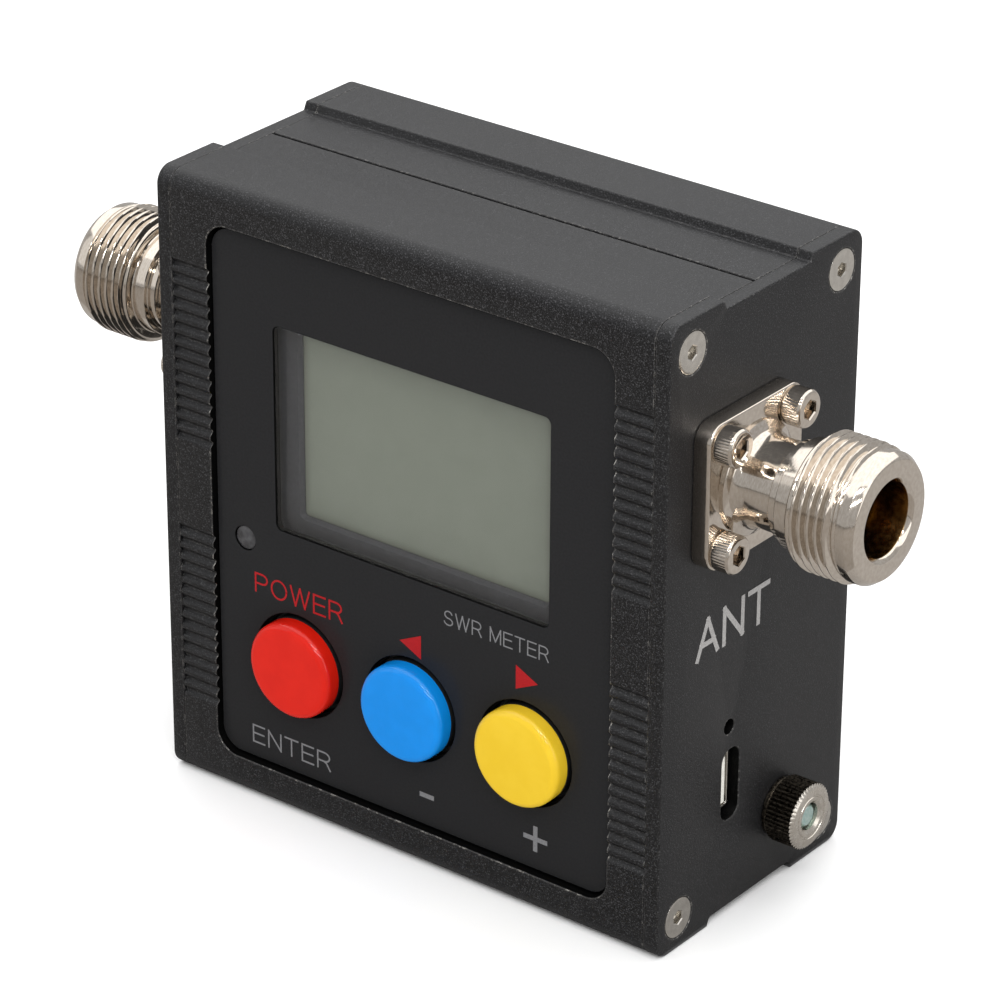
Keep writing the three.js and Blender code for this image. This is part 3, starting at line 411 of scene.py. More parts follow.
# Glossy ABS keys: clean colour, sharp highlights, a very slight waviness from moulding.
KEY_COLOURS = {"red": ("#c81a0d", "#ce1d0f"), "blue": ("#0a80d4", "#0d84da"),
               "yellow": ("#dfb928", "#e3be2e")}
KEY_FINISH = {name: plain(f"glossy_{name}_ABS", colours, (0.035, 0.05), 2.5, 0.0006, Specular_IOR_Level=0.4)
              for name, colours in KEY_COLOURS.items()}
# Smoked polycarbonate lens: grey, glossy, a little lighter in places.
SMOKED = plain("smoked_polycarbonate", ("#2c2c2e", "#4a4a4c"), (0.12, 0.2), 1.2, 0.004)
# Bright nickel on brass: a warm mirror with faint turning marks.
NICKEL = plain("bright_nickel_plate", ("#cdc3b7", "#d9d0c5"), (0.08, 0.13), 0.5, 0.0008, (3, 1, 1),
               Metallic=1.0)
# Stainless steel screws: satin, slightly warm.
STAINLESS = plain("stainless_steel", ("#c6c2bb", "#d2cec7"), (0.2, 0.26), 0.8, 0.0004, Metallic=1.0)
# Knurled nickel of the thumb nut, a little duller than the sockets.
NUT_NICKEL = plain("satin_nickel_plate", ("#c9c2b8", "#d5cfc6"), (0.22, 0.3), 0.8, 0.0005, Metallic=1.0)
# The knurled side of the nut, and the washer behind it: nickel painted dark, a painted reflection of the dark
# case, and painted shade where the washer sits behind the nut.
DARKENED_NICKEL = plain("nickel_painted_dark_reflection_and_shade", ("#2b2723", "#5d564c"), (0.25, 0.4), 0.3, 0.002, Metallic=1.0)
# Inside the bore: metal darker and warmer than the nickel outside.
BORE_METAL = plain("darker_warm_metal_in_bore", ("#6d5638", "#8f7349"), (0.16, 0.24), 0.6, 0.0006, Metallic=1.0)
# Blue zinc plate on steel: cold, with a faint blue cast.
ZINC = plain("blue_zinc_plate", ("#bcdcd8", "#d8ece8"), (0.3, 0.42), 0.4, 0.001, Metallic=1.0)
# Gold plate on the contacts: deep yellow, satin. Drawn copper: pinker, with a few dull spots.
GOLD = plain("gold_plated_contact", ("#b98a34", "#cda24a"), (0.2, 0.3), 0.3, 0.001, Metallic=1.0)
COPPER = plain("bare_copper", ("#a8623c", "#bd7a50"), (0.25, 0.4), 0.5, 0.002, Metallic=1.0)
# Sintered ferrite: dark grey and grainy. Turned PTFE: milky, a little waxy.
FERRITE = plain("sintered_ferrite", ("#2a2826", "#3a3734"), (0.6, 0.8), 0.25, 0.02)
PTFE = plain("white_PTFE", ("#dedbd3", "#ece9e2"), (0.4, 0.5), 0.6, 0.004)
# Foil round the cell: slightly creased, silvery. Open-cell foam beside it: dark, with no shine at all.
FOIL = plain("foil_wrapped_cell", ("#8b939c", "#a4acb5"), (0.3, 0.45), 1.5, 0.02, Metallic=0.4)
FOAM = plain("open_cell_foam", ("#2c2c2c", "#464646"), (0.9, 1.0), 0.5, 0.2)
# Glass epoxy board under green solder resist, with its woven glass just showing.
BOARD = plain("green_solder_resist", ("#174a30", "#236443"), (0.3, 0.4), 0.5, 0.004)
# Screen inks: flat and slightly grainy.
RED_INK = plain("red_screen_ink", ("#9a0e14", "#a61218"), (0.4, 0.5), 0.15, 0.001, Specular_IOR_Level=0.15)
GREY_INK = plain("grey_screen_ink", ("#6d6d6f", "#7a7a7c"), (0.4, 0.5), 0.15, 0.001, Specular_IOR_Level=0.15)
PALE_INK = plain("pale_screen_ink", ("#868483", "#a3a19f"), (0.4, 0.5), 0.12, 0.004, Specular_IOR_Level=0.15)
VIEW_RIM = (2.6, 2.0)        # mm from the side and from the end of the glass to the rim of its view


def liquid_crystal(tree, place):
    """Grey-green polariser over the cell: mottled very faintly, and darker towards the rim of the view,
    where the distance from the middle nears the half width or the half height."""
    wires = mottled(tree, place, ("#80867a", "#82887c"), (0.3, 0.34), 3.0)
    low, high = span("display_glass")
    at, half = (low + high) / 2, (high - low) / 2
    split = add(tree, "SeparateXYZ", wires={"Vector": place})
    shares = []
    for axis, number, rim in (("X", 0, VIEW_RIM[0]), ("Z", 2, VIEW_RIM[1])):
        reach = half[number] - rim
        from_middle = add(tree, "Math", {"operation": "SUBTRACT"}, {
            0: split.outputs[axis], 1: at[number] * MM})
        away = add(tree, "Math", {"operation": "ABSOLUTE"}, {0: from_middle})
        shares.append(add(tree, "MapRange", {"interpolation_type": "SMOOTHSTEP"}, {
            "Value": away, "From Min": (reach - 1.6) * MM, "From Max": (reach + 0.3) * MM}))
    dark = add(tree, "Math", {"operation": "MAXIMUM"}, {0: shares[0], 1: shares[1]})
    colour = add(tree, "Mix", {"data_type": "RGBA"}, {0: dark, 6: wires["Base Color"], 7: srgb("#62655a")})
    wires["Base Color"] = colour.outputs[2]
    return wires


LCD = material("polarised_LCD_glass", liquid_crystal, Specular_IOR_Level=0.25)


def acrylic():
    """Cast acrylic sheet: clear, with a sharp reflection of 4 percent seen square on, which rises with
    the fifth power of the slant."""
    made, tree, place = blank_material("clear_cast_acrylic")
    wires = mottled(tree, place, ("#f4f6f2", "#ffffff"), (0.02, 0.04), 2.0)
    wires["Metallic"] = 1.0
    shine = add(tree, "BsdfPrincipled", wires=wires)
    clear = add(tree, "BsdfTransparent", wires={"Color": srgb("#f8f8f8")})
    slant = add(tree, "LayerWeight", wires={"Blend": 0.5}).outputs["Facing"]
    steep = add(tree, "Math", {"operation": "POWER"}, {0: slant, 1: 5.0})
    share = add(tree, "Math", {"operation": "MULTIPLY_ADD"}, {0: steep, 1: 0.96, 2: 0.04})
    mixed = add(tree, "MixShader", wires={0: share, 1: clear, 2: shine})
    add(tree, "OutputMaterial", wires={"Surface": mixed})
    return made


ACRYLIC = acrylic()


# ---- Case ----

FRONT_LOW, FRONT_HIGH = span("front_shell")
REAR_HIGH = span("rear_shell")[1]
MIDDLE_Y = (FRONT_LOW[1] + REAR_HIGH[1]) / 2
DEPTH = REAR_HIGH[1] - FRONT_LOW[1]
HEIGHT = FRONT_HIGH[2]
SHELL_X = FRONT_HIGH[0]
PLATE_X = span("right_end_plate")[1][0]
FACE = -DEPTH / 2            # the front face, from the middle of the case

CORNER = 2.1
CHANNEL_FLOOR = 7.8          # half the width of the shallow channel along the top and the base
CHANNEL_EDGE = 8.25
CHANNEL_DEPTH = 1.0
CHANNEL_ROUND = 0.26
JOINT = 0.2                  # half the gap between the shells
JOINT_ROUND = 0.15
SHELL_EASE = 0.12
FRONT_WALL = 3.0
REAR_WALL = 2.5
CEILING = 2.8
BLOCK = 6.4                  # block of metal round each screw channel
SCREW_IN = 4.0
SCREW_CHANNEL = 1.3
RAIL_AT = -8.3               # middle of the board that the guides hold
RAIL_HALF = 1.0
RAIL_THICK = 1.0
RAIL_TALL = 1.2
RIB_PITCH = 1.54
RIB_DEPTH = 0.5
RIB_COUNT = 15
RIB_OFFSET = 16.9            # middle of a group of ribs from the middle of the case
# Corners (y, z, radius) of the case's front half, from the channel in the base to the one in the top.
FRONT_HALF = [(-CHANNEL_FLOOR, CHANNEL_DEPTH, CHANNEL_ROUND), (-CHANNEL_EDGE, 0, CHANNEL_ROUND),
              (FACE, 0, CORNER), (FACE, HEIGHT, CORNER), (-CHANNEL_EDGE, HEIGHT, CHANNEL_ROUND),
              (-CHANNEL_FLOOR, HEIGHT - CHANNEL_DEPTH, CHANNEL_ROUND)]


def ribs():
    """Two groups of ribs up the face: inwards by the depth times a power of half of 1 + cos of the
    height over the pitch, so that the grooves are narrow and the crests broad and round. Rows (depth
    into the face, height)."""
    runs = []
    for group in (-1, 1):
        t = np.linspace(-0.5, RIB_COUNT - 0.5, RIB_COUNT * 14 + 1)
        z = HEIGHT / 2 + group * RIB_OFFSET + (t - (RIB_COUNT - 1) / 2) * RIB_PITCH
        runs.append(np.column_stack([RIB_DEPTH * (0.5 + 0.5 * np.cos(TAU * t)) ** 1.6, z]))
    return np.vstack(runs)


def half_section(wall, rail):
    """Section of a shell in (y, z) about the middle of the case: joint, channel, corner, ribbed face,
    corner, channel and joint, then back along the inside, with the guides for a board if it has them."""
    outside = [(-JOINT, CHANNEL_DEPTH, JOINT_ROUND), *FRONT_HALF,
               (-JOINT, HEIGHT - CHANNEL_DEPTH, JOINT_ROUND)]
    high, low = HEIGHT - CEILING, CEILING
    guides = []
    if rail:
        back, front = RAIL_AT + RAIL_HALF, RAIL_AT - RAIL_HALF
        guides = [(back + RAIL_THICK, 0), (back + RAIL_THICK, 1), (back, 1), (back, 0),
                  (front, 0), (front, 1), (front - RAIL_THICK, 1), (front - RAIL_THICK, 0)]
    block = FACE + BLOCK
    inside = [(-JOINT, high)] + [(y, high - s * RAIL_TALL) for y, s in guides]
    inside += [(block, high), (block, HEIGHT - BLOCK), (FACE + wall, HEIGHT - BLOCK), (FACE + wall, BLOCK),
               (block, BLOCK), (block, low)]
    inside += [(y, low + s * RAIL_TALL) for y, s in guides[::-1]] + [(-JOINT, low)]
    chunks = rounded(outside + [(y, z, 0.0) for y, z in inside])
    after_lower_corner = 4
    chunks.insert(after_lower_corner, ribs() + (FACE, 0))
    return np.vstack(chunks)[::-1]


def shell(node, mirror, wall, rail):
    """A shell: its section carried along X, with small eased ends and its two screw channels."""
    section = half_section(wall, rail) * (mirror, 1)
    if mirror < 0:
        section = section[::-1]
    section = section + (MIDDLE_Y, 0)
    steps = eased(SHELL_X, -SHELL_X, SHELL_EASE, SHELL_EASE)
    bores = [ring(SCREW_CHANNEL, MIDDLE_Y - mirror * (DEPTH / 2 - SCREW_IN), z, 24)
             for z in (SCREW_IN, HEIGHT - SCREW_IN)]
    shape = slab([(section, steps)] + [(b, steps * (1, 0)) for b in bores])
    return blank(node + "_finished", placed(shape, "plate X"))


def anodised(thing, node):
    """A settled part of the case; its ribs and broken edges are smooth."""
    return settled(thing, ANODISED, node, crease=40)


PANEL_LOW, PANEL_HIGH = span("label_panel")
PANEL_AT, PANEL_SIZE = (PANEL_LOW + PANEL_HIGH) / 2, PANEL_HIGH - PANEL_LOW
WINDOW_LOW, WINDOW_HIGH = span("display_window")
WINDOW_AT = (WINDOW_LOW + WINDOW_HIGH) / 2
WINDOW_SIZE = WINDOW_HIGH - WINDOW_LOW + 0.2
WINDOW_R = 0.9
FRAME_LOW, FRAME_HIGH = span("display_frame")
FRAME_LAP = 1.2              # how much wider than its opening the display's frame is
LIGHT_AT = middle("status_light_lens")
KEYS = ("red", "blue", "yellow")
KEY_AT = {name: middle(f"{name}_key_cap") for name in KEYS}
HOLE_R = 6.4
LIGHT_HOLE_R = 1.55
POCKET_GAP = (0.1, 0.3)      # round the label panel, at its sides and at its ends
POCKET_R = 3.0
POCKET_RIM = 0.08            # narrow chamfer round the pocket


def front_holes(top, bottom, grow=0.0):
    """Outlines and straight sides of the key holes and the status light's hole."""
    steps = eased(top, bottom, 0)
    loops = [(ring(HOLE_R + grow, KEY_AT[n][0], KEY_AT[n][2], 96), steps) for n in KEYS]
    return loops + [(ring(LIGHT_HOLE_R, LIGHT_AT[0], LIGHT_AT[2], 48), steps)]


def make_front_shell():
    """The front shell with its milled pocket, whose rim is broken by a narrow chamfer, and the
    openings for the display, the keys and the status light in the pocket's floor."""
    made = shell("front_shell", 1, FRONT_WALL, True)
    face, inside = FRONT_LOW[1], FRONT_LOW[1] + FRONT_WALL + 1
    outline = round_box(PANEL_SIZE[0] + 2 * POCKET_GAP[0], PANEL_SIZE[2] + 2 * POCKET_GAP[1], POCKET_R,
                        PANEL_AT[0], PANEL_AT[2])
    pocket = (outline, np.array([(face - 1, -POCKET_RIM), (face, -POCKET_RIM), (face + POCKET_RIM, 0),
                                 (PANEL_HIGH[1], 0)]))
    opening = FRAME_HIGH - FRAME_LOW - FRAME_LAP
    window = (round_box(opening[0], opening[2], WINDOW_R, WINDOW_AT[0], WINDOW_AT[2]), eased(face, inside, 0))
    carved(made, *[placed(slab([loop]), "plate Y") for loop in (pocket, window, *front_holes(face, inside))])
    anodised(made, "front_shell")
    reach = PANEL_SIZE / 2 + max(POCKET_GAP) + 0.1
    # The walls of the pocket and of the openings behind it are painted near black: painted shade.
    return second_finish(made, SHADED_WALL, lambda c, n: (
        (np.abs(c - PANEL_AT)[:, [0, 2]] < reach[[0, 2]]).all(1)
        & (c[:, 1] > face + POCKET_RIM) & (c[:, 1] < face + FRONT_WALL - 0.1)))


make_front_shell()
anodised(shell("rear_shell", -1, REAR_WALL, False), "rear_shell")

SCREW_HEAD = 2.45
SCREW_SHANK = 1.15
SCREW_GAP = 0.15
SCREW_CONE = 1.3
SOCKET_AT = middle("antenna_socket_contact")
SOCKET_BORE = 5.65
FLANGE_SCREWS = 12.7         # between the screws of a flange
FLANGE_HOLE = 1.35
USB_AT = middle("usb_socket_shell")
USB_SLOT = (3.4, 9.1, 1.55)  # width, height and corner radius
CHARGE_AT = middle("charge_light")
CHARGE_HOLE = 0.95
STUD_AT = middle("earth_stud")
STUD_HOLE = 1.65
PLATE_SCREW_AT = [(y, z) for y in (MIDDLE_Y - DEPTH / 2 + SCREW_IN, MIDDLE_Y + DEPTH / 2 - SCREW_IN)
                  for z in (SCREW_IN, HEIGHT - SCREW_IN)]
FLANGE_SCREW_AT = [(SOCKET_AT[1] + y * FLANGE_SCREWS / 2, SOCKET_AT[2] + z * FLANGE_SCREWS / 2)
                   for y in (-1, 1) for z in (-1, 1)]


def end_plate(node, axis, extra):
    """An end plate cut to the case's own section, with a broken outer edge: countersinks for its
    screws, the socket's bore and threads, and the extra openings (outline, edge radius)."""
    half = rounded(FRONT_HALF + [(-y, z, r) for y, z, r in FRONT_HALF[::-1]])
    outline = np.vstack(half)[::-1] + (MIDDLE_Y, 0)
    top, bottom = PLATE_X, SHELL_X
    cone = np.array([(top, 0), (top - SCREW_CONE, -SCREW_CONE), (bottom, -SCREW_CONE)])
    straight = eased(top, bottom, 0)
    loops = [(outline, eased(top, bottom, 0.25, 0.15))]
    loops += [(ring(SCREW_HEAD + SCREW_GAP, y, z, 48), cone) for y, z in PLATE_SCREW_AT]
    loops += [(ring(SOCKET_BORE, SOCKET_AT[1], SOCKET_AT[2], 48), straight)]
    loops += [(ring(FLANGE_HOLE, y, z, 24), straight) for y, z in FLANGE_SCREW_AT]
    loops += [(hole, eased(top, bottom, r)) for hole, r in extra]
    if axis == "plate -X":
        loops = [((hole * (-1, 1))[::-1], steps) for hole, steps in loops]
    made = anodised(blank(node + "_finished", placed(slab(loops), axis)), node)
    # The walls of the plate's openings are painted near black: painted shade.
    return second_finish(made, SHADED_WALL, lambda c, n: (
        (np.abs(n[:, 0]) < 0.3) & (np.abs(c[:, 0]) < PLATE_X - 0.1)
        & (np.abs(c[:, 1] - MIDDLE_Y) < DEPTH / 2 - 0.6) & (np.abs(c[:, 2] - HEIGHT / 2) < HEIGHT / 2 - 1.6)))


end_plate("right_end_plate", "plate X", [
    (round_box(*USB_SLOT, USB_AT[1], USB_AT[2]), 0.12),
    (ring(CHARGE_HOLE, CHARGE_AT[1], CHARGE_AT[2], 32), 0.1),
    (ring(STUD_HOLE, STUD_AT[1], STUD_AT[2], 32), 0.0)])
end_plate("left_end_plate", "plate -X", [])


# ---- Screws ----

def hexagon(across):
    """Radius of a hexagon at angle t, across its flats."""
    return lambda t: across / 2 / np.cos((t + math.pi / 6) % (math.pi / 3) - math.pi / 6)


def knurl(radius, depth, teeth):
    """Radius less a depth that follows the sharpened absolute sine of the angle, tooth by tooth."""
    return lambda t: radius - depth * (1 - np.abs(np.sin(teeth / 2 * t)) ** 0.8)


def countersunk():
    """A countersunk screw, its face at 0: a hexagon socket with a small chamfer, a faintly dished
    face with an eased rim, the cone and the shank."""
    neck = SCREW_HEAD - SCREW_SHANK
    return turned([(-0.85, 0), (-0.8, hexagon(1.35)), (-0.12, hexagon(1.5)), (-0.02, hexagon(1.74)),
                   (-0.01, 1.1), (0, 2.1), (0, SCREW_HEAD - 0.14), (-0.04, SCREW_HEAD - 0.03),
                   (-0.12, SCREW_HEAD), (-SCREW_CONE + neck - 0.1, SCREW_HEAD), (-SCREW_CONE, SCREW_SHANK),
                   (-8.7, SCREW_SHANK), (-9, SCREW_SHANK - 0.3), (-9, 0)], 72)


def cap_screw():
    """A socket cap screw, its seat at 0: hexagon socket with a chamfer, flat top, rounded rim, and a
    knurl of 36 teeth that dies out before the rim."""
    r, h = 2.25, 2.5
    side = knurl(r, 0.05, 36)
    return turned([(h - 1.35, 0), (h - 1.3, hexagon(1.8)), (h - 0.14, hexagon(2.0)), (h, hexagon(2.28)),
                   (h, r - 0.42), (h - 0.04, r - 0.27), (h - 0.13, r - 0.15), (h - 0.28, r - 0.09),
                   (h - 0.36, side), (0.3, side), (0.22, r - 0.09), (0.08, r - 0.14), (0, r - 0.25), (0, 1.2),
                   (-5.7, 1.2), (-6, 0.95), (-6, 0)], 144)


for side, axis, face in (("right", "turned X", PLATE_X), ("left", "turned -X", -PLATE_X)):
    for i, (y, z) in enumerate(PLATE_SCREW_AT, 1):
        node = f"{side}_plate_screw_{i}"
        piece(node + "_finished", countersunk(), axis, (face, y, z), STAINLESS, "bright_steel", node)


# ---- Coaxial sockets ----

FLANGE_T = 2.2
FLANGE_SIDE = 17.5
THREAD_START = 11.0
THREAD_TURNS = 6
THREAD_PITCH = 25.4 / 24
THREAD_END = THREAD_START + THREAD_TURNS * THREAD_PITCH
CREST, ROOT = 7.9375, 7.3
SOCKET_LENGTH = 19.5
BOSS_BACK = -2.0             # rear end of the boss, behind the plate's face
SLEEVE_BORE = 2.95
BORE, BORE_FLOOR = 4.3, 7.0


def thread_rows():
    """Rows of the 5/8 inch thread: the radius rises from root to crest with the saw-tooth distance to
    the nearest groove of a helix, rounded at both, and dies out over the first and the last half turn."""
    rows = []
    for x in np.linspace(THREAD_START, THREAD_END, THREAD_TURNS * 14 + 1):
        fade = min(1.0, (x - THREAD_START) / (THREAD_PITCH / 2), (THREAD_END - x) / (THREAD_PITCH / 2))

        def radius(t, x=x, fade=fade):
            phase = ((x - THREAD_START) / THREAD_PITCH - t / TAU) % 1
            saw = np.clip((0.5 - np.abs(phase - 0.5)) * 2.5 - 0.12, 0, 1)
            lift = saw * saw * (3 - 2 * saw) * 0.35 + saw * 0.65
            return ROOT + (CREST - ROOT) * lift * fade
        rows.append((x, radius))
    return rows


def socket_body():
    """Turned body of an N socket from its rear boss to its nose, with the flange foot, the plain
    barrel, two steps, the thread, a plain ring, the nose chamfer and the bore."""
    end, foot = SOCKET_LENGTH, FLANGE_T
    outside = [(BOSS_BACK, SLEEVE_BORE), (BOSS_BACK, 5.5), (0.1, 5.5), (0.1, 6.6), (foot + 0.3, 6.6),
               (foot + 0.4, 6.5), (foot + 0.62, 5.95), (foot + 1.0, 5.5), (foot + 1.5, 5.28),
               (foot + 2.1, 5.2), (7.62, 5.2), (7.7, 5.28), (7.7, 5.65), (7.8, 5.75), (8.82, 5.75),
               (8.9, 5.83), (8.9, 6.3), (9.0, 6.4), (10.6, 6.4), (10.72, 6.5), (10.86, 7.1),
               (10.95, ROOT - 0.05)]
    nose = [(THREAD_END + 0.05, ROOT - 0.02), (THREAD_END + 0.1, 7.42), (THREAD_END + 0.18, 7.5),
            (end - 0.95, 7.5), (end - 0.85, 7.47), (end - 0.1, 6.92), (end - 0.03, 6.84), (end, 6.72),
            (end, 4.86), (end - 0.04, 4.8), (end - 0.46, 4.34), (end - 0.55, BORE), (BORE_FLOOR, BORE),
            (BORE_FLOOR, SLEEVE_BORE), (BOSS_BACK, SLEEVE_BORE)]
    return turned(outside + thread_rows() + nose, 128)


def flange():
    """The square flange with round corners, eased edges and four screw holes."""
    straight = eased(FLANGE_T, 0.02, 0)
    loops = [(round_box(FLANGE_SIDE, FLANGE_SIDE, 2.3), eased(FLANGE_T, 0.02, 0.22, 0.1)),
             (ring(6.5, steps=96), straight)]
    loops += [(ring(FLANGE_HOLE, y * FLANGE_SCREWS / 2, z * FLANGE_SCREWS / 2, 24), straight)
              for y in (-1, 1) for z in (-1, 1)]
    return slab(loops)


def contact():
    """The slotted centre contact: a tube open at its tip, with a solder cup at its tail."""
    tip = SOCKET_LENGTH - 5.2
    return turned([(-4.5, 0), (-4.5, 1.2), (-7, 1.2), (-7, 1.5), (tip - 0.2, 1.5), (tip, 1.3), (tip, 0.95),
                   (tip - 0.15, 0.82), (tip - 4.5, 0.82), (tip - 4.5, 0)], 48)


SLEEVE = turned([(BOSS_BACK, 1.55), (BOSS_BACK, 2.9), (7.05, 2.9), (7.05, 4.25), (8.95, 4.25), (9.05, 4.15),
                 (9.05, 1.7), (8.95, 1.55), (BOSS_BACK, 1.55)], 64)

for name, way, face in (("antenna", "X", PLATE_X), ("transmitter", "-X", -PLATE_X)):
    seat = (face, SOCKET_AT[1], SOCKET_AT[2])
    round_way, flat_way = "turned " + way, "plate " + way
    whole = joined(placed(socket_body(), round_way, seat), placed(flange(), flat_way, seat))
    body = settled(blank(f"{name}_socket_finished", whole), NICKEL, f"{name}_socket")
    # The inside of the bore is darker and warmer.
    second_finish(body, BORE_METAL, lambda c, n: (np.hypot(c[:, 1] - seat[1], c[:, 2] - seat[2]) < BORE + 0.02)
                  & (np.abs(c[:, 0]) > PLATE_X + BORE_FLOOR - 0.1))
    piece(f"{name}_insulator_finished", SLEEVE, round_way, seat, PTFE, "white_ptfe",
          f"{name}_socket_insulator")
    pin = blank(f"{name}_contact_finished", placed(contact(), round_way, seat))
    slots = [placed(slab([(round_box(*size, 0.02), eased(SOCKET_LENGTH - 5, SOCKET_LENGTH - 9, 0))]),
                    flat_way, seat) for size in ((0.3, 4.0), (4.0, 0.3))]
    settled(carved(pin, *slots), GOLD, f"{name}_socket_contact")
    seat_x = face + math.copysign(FLANGE_T, face)
    for i, (y, z) in enumerate(FLANGE_SCREW_AT, 1):
        node = f"{name}_flange_screw_{i}"
        piece(node + "_finished", cap_screw(), round_way, (seat_x, y, z), NICKEL, "bright_steel", node)


# ---- Earth terminal ----

NUT_LOW, NUT_HIGH = span("earth_nut")
STUD_LOW, STUD_HIGH = span("earth_stud")
WASHER_LOW, WASHER_HIGH = span("earth_washer")
STUD_PITCH = 0.5
NUT_R = 4.0
NUT_TEETH = 46


def thumb_nut():
    """The knurled nut: straight teeth round its side, turned-down ends, a flat face with a shallow
    ring groove, and a chamfered hole."""
    length = NUT_HIGH[0] - NUT_LOW[0]
    teeth, half = knurl(NUT_R, 0.26, NUT_TEETH), knurl(NUT_R - 0.14, 0.1, NUT_TEETH)
    return turned([(0, 1.66), (0, 3.5), (0.06, 3.58), (0.3, half), (0.36, teeth), (length - 0.36, teeth),
                   (length - 0.3, half), (length - 0.06, 3.6), (length, 3.5), (length, 2.72),
                   (length - 0.08, 2.66), (length - 0.08, 2.5), (length, 2.44), (length, 2.02),
                   (length - 0.3, 1.66), (0, 1.66)], 8 * NUT_TEETH)


def stud():
    """The earth stud: a round head inside the case and a fine helical thread, radius less a quarter
    millimetre of saw-tooth, out to a chamfered end."""
    rows = [(STUD_LOW[0], 0), (STUD_LOW[0], 2.6), (STUD_LOW[0] + 0.15, 2.75), (STUD_LOW[0] + 1.85, 2.75),
            (STUD_LOW[0] + 2.0, 2.6), (STUD_LOW[0] + 2.0, 1.3)]
    end = STUD_HIGH[0] - 0.3
    for x in np.arange(STUD_LOW[0] + 2.1, end, STUD_PITCH / 6):
        rows.append((x, lambda t, x=x: 1.5 - 0.25 * np.abs(((x / STUD_PITCH - t / TAU) % 1) * 2 - 1)))
    return turned(rows + [(end, 1.4), (STUD_HIGH[0], 1.15), (STUD_HIGH[0], 0)], 48)


def on_stud(node, shape, x, *finish, body="case"):
    """A turned piece about the stud's axis, its back at x."""
    return piece(node + "_finished", shape, "turned X", (x, STUD_AT[1], STUD_AT[2]), *finish, node, body)


on_stud("earth_stud", stud(), 0, ZINC, "zinc_plate")
nut = on_stud("earth_nut", thumb_nut(), NUT_LOW[0], NUT_NICKEL, "bright_nickel", body="earth_nut")
# The knurled side is painted dark: painted reflection of the dark case.
second_finish(nut, DARKENED_NICKEL, lambda c, n: (np.hypot(c[:, 1] - STUD_AT[1], c[:, 2] - STUD_AT[2]) > 3.65)
              & (c[:, 0] < NUT_HIGH[0] - 0.34))
washer_t = WASHER_HIGH[0] - WASHER_LOW[0]
washer = turned([(0, 1.66), (0, 3.5), (0.1, 3.6), (washer_t - 0.1, 3.6), (washer_t, 3.5), (washer_t, 1.66),
                 (0, 1.66)], 96)
# The washer is painted dark too: painted shade behind the nut.
on_stud("earth_washer", washer, WASHER_LOW[0], DARKENED_NICKEL, "bright_nickel", body="earth_washer")


# ---- Charging socket ----

USB_LOW, USB_HIGH = span("usb_socket_shell")


def usb_outline(wall):
    """Mouth of the socket: wide at the back, drawn in towards the board, with rounded corners."""
    wide, narrow = 3.7 - wall, 2.8 - wall
    low, high = USB_LOW[1] + wall, USB_HIGH[1] - wall
    y, z = USB_AT[1], USB_AT[2]
    r = 0.45 - wall / 2
    corners = [(low, z - narrow), (y, z - wide), (high, z - wide), (high, z + wide), (y, z + wide),
               (low, z + narrow)]
    return np.vstack(rounded([(*c, r) for c in corners[::-1]]))[::-1]


USB_SET_BACK = 0.8           # how far in the tube's mouth stands, so that the slot stays dark
mouth, back = USB_HIGH[0] - USB_SET_BACK, USB_LOW[0]
tube = slab([(usb_outline(0), eased(mouth, back, 0.08)), (usb_outline(0.3), eased(mouth, back, 0.1))])
rear_wall = slab([(usb_outline(0.29), eased(back + 0.3, back, 0))])
piece("usb_shell_finished", joined(tube, rear_wall), "plate X", (0, 0, 0), STAINLESS, "bright_steel",
      "usb_socket_shell")
TONGUE_LOW, TONGUE_HIGH = span("usb_socket_tongue")
tongue_at = (TONGUE_LOW + TONGUE_HIGH) / 2
tongue = slab([(round_box(1.0, 5.9, 0.12, tongue_at[1] - 0.1, tongue_at[2]),
                eased(TONGUE_HIGH[0], TONGUE_LOW[0], 0.1))])
# The tongue is white: a painted highlight standing in for the lit inside of the socket.
piece("usb_tongue_finished", tongue, "plate X", (0, 0, 0), WHITE_ABS_AND_HIGHLIGHT, "black_plastic", "usb_socket_tongue")
CONTACT_PITCH = 0.65
strips = [slab([(round_box(0.1, 0.4, 0.03, tongue_at[1] - 0.62, tongue_at[2] + k * CONTACT_PITCH),
                 eased(TONGUE_HIGH[0] - 0.3, TONGUE_LOW[0] + 0.2, 0))]) for k in range(-2, 3)]
piece("usb_contacts", joined(*strips), "plate X", (0, 0, 0), GOLD, "gold_plate")


# ---- Label panel, window, display and status light ----

top, bottom = PANEL_LOW[1], PANEL_HIGH[1]
loops = [(round_box(PANEL_SIZE[0] - 0.2, PANEL_SIZE[2] - 0.2, POCKET_R - 0.2, PANEL_AT[0], PANEL_AT[2]),
          eased(top, bottom, 0.1)),
         (round_box(WINDOW_SIZE[0], WINDOW_SIZE[2], WINDOW_R, WINDOW_AT[0], WINDOW_AT[2]),
          eased(top, bottom, 0.08))]
loops += [(outline, eased(top, bottom, 0.1)) for outline, _ in front_holes(top, bottom, 0.2)]
panel = piece("label_panel_finished", slab(loops), "plate Y", (0, 0, 0), PANEL, "printed_panel",
              "label_panel")
# The panel's edges, round it and in its holes, are painted near black: painted shade of the gaps.
second_finish(panel, SHADED_PANEL_EDGE, lambda c, n: np.abs(n[:, 1]) < 0.3)
outline = round_box(WINDOW_SIZE[0] - 0.2, WINDOW_SIZE[2] - 0.2, WINDOW_R - 0.1, WINDOW_AT[0], WINDOW_AT[2])
window = slab([(outline, eased(WINDOW_LOW[1], WINDOW_HIGH[1], 0.1, 0.05))])
piece("display_window_finished", window, "plate Y", (0, 0, 0), ACRYLIC, "clear_acrylic", "display_window")

VIEW = (35.4, 23.0)          # the display's view through its frame


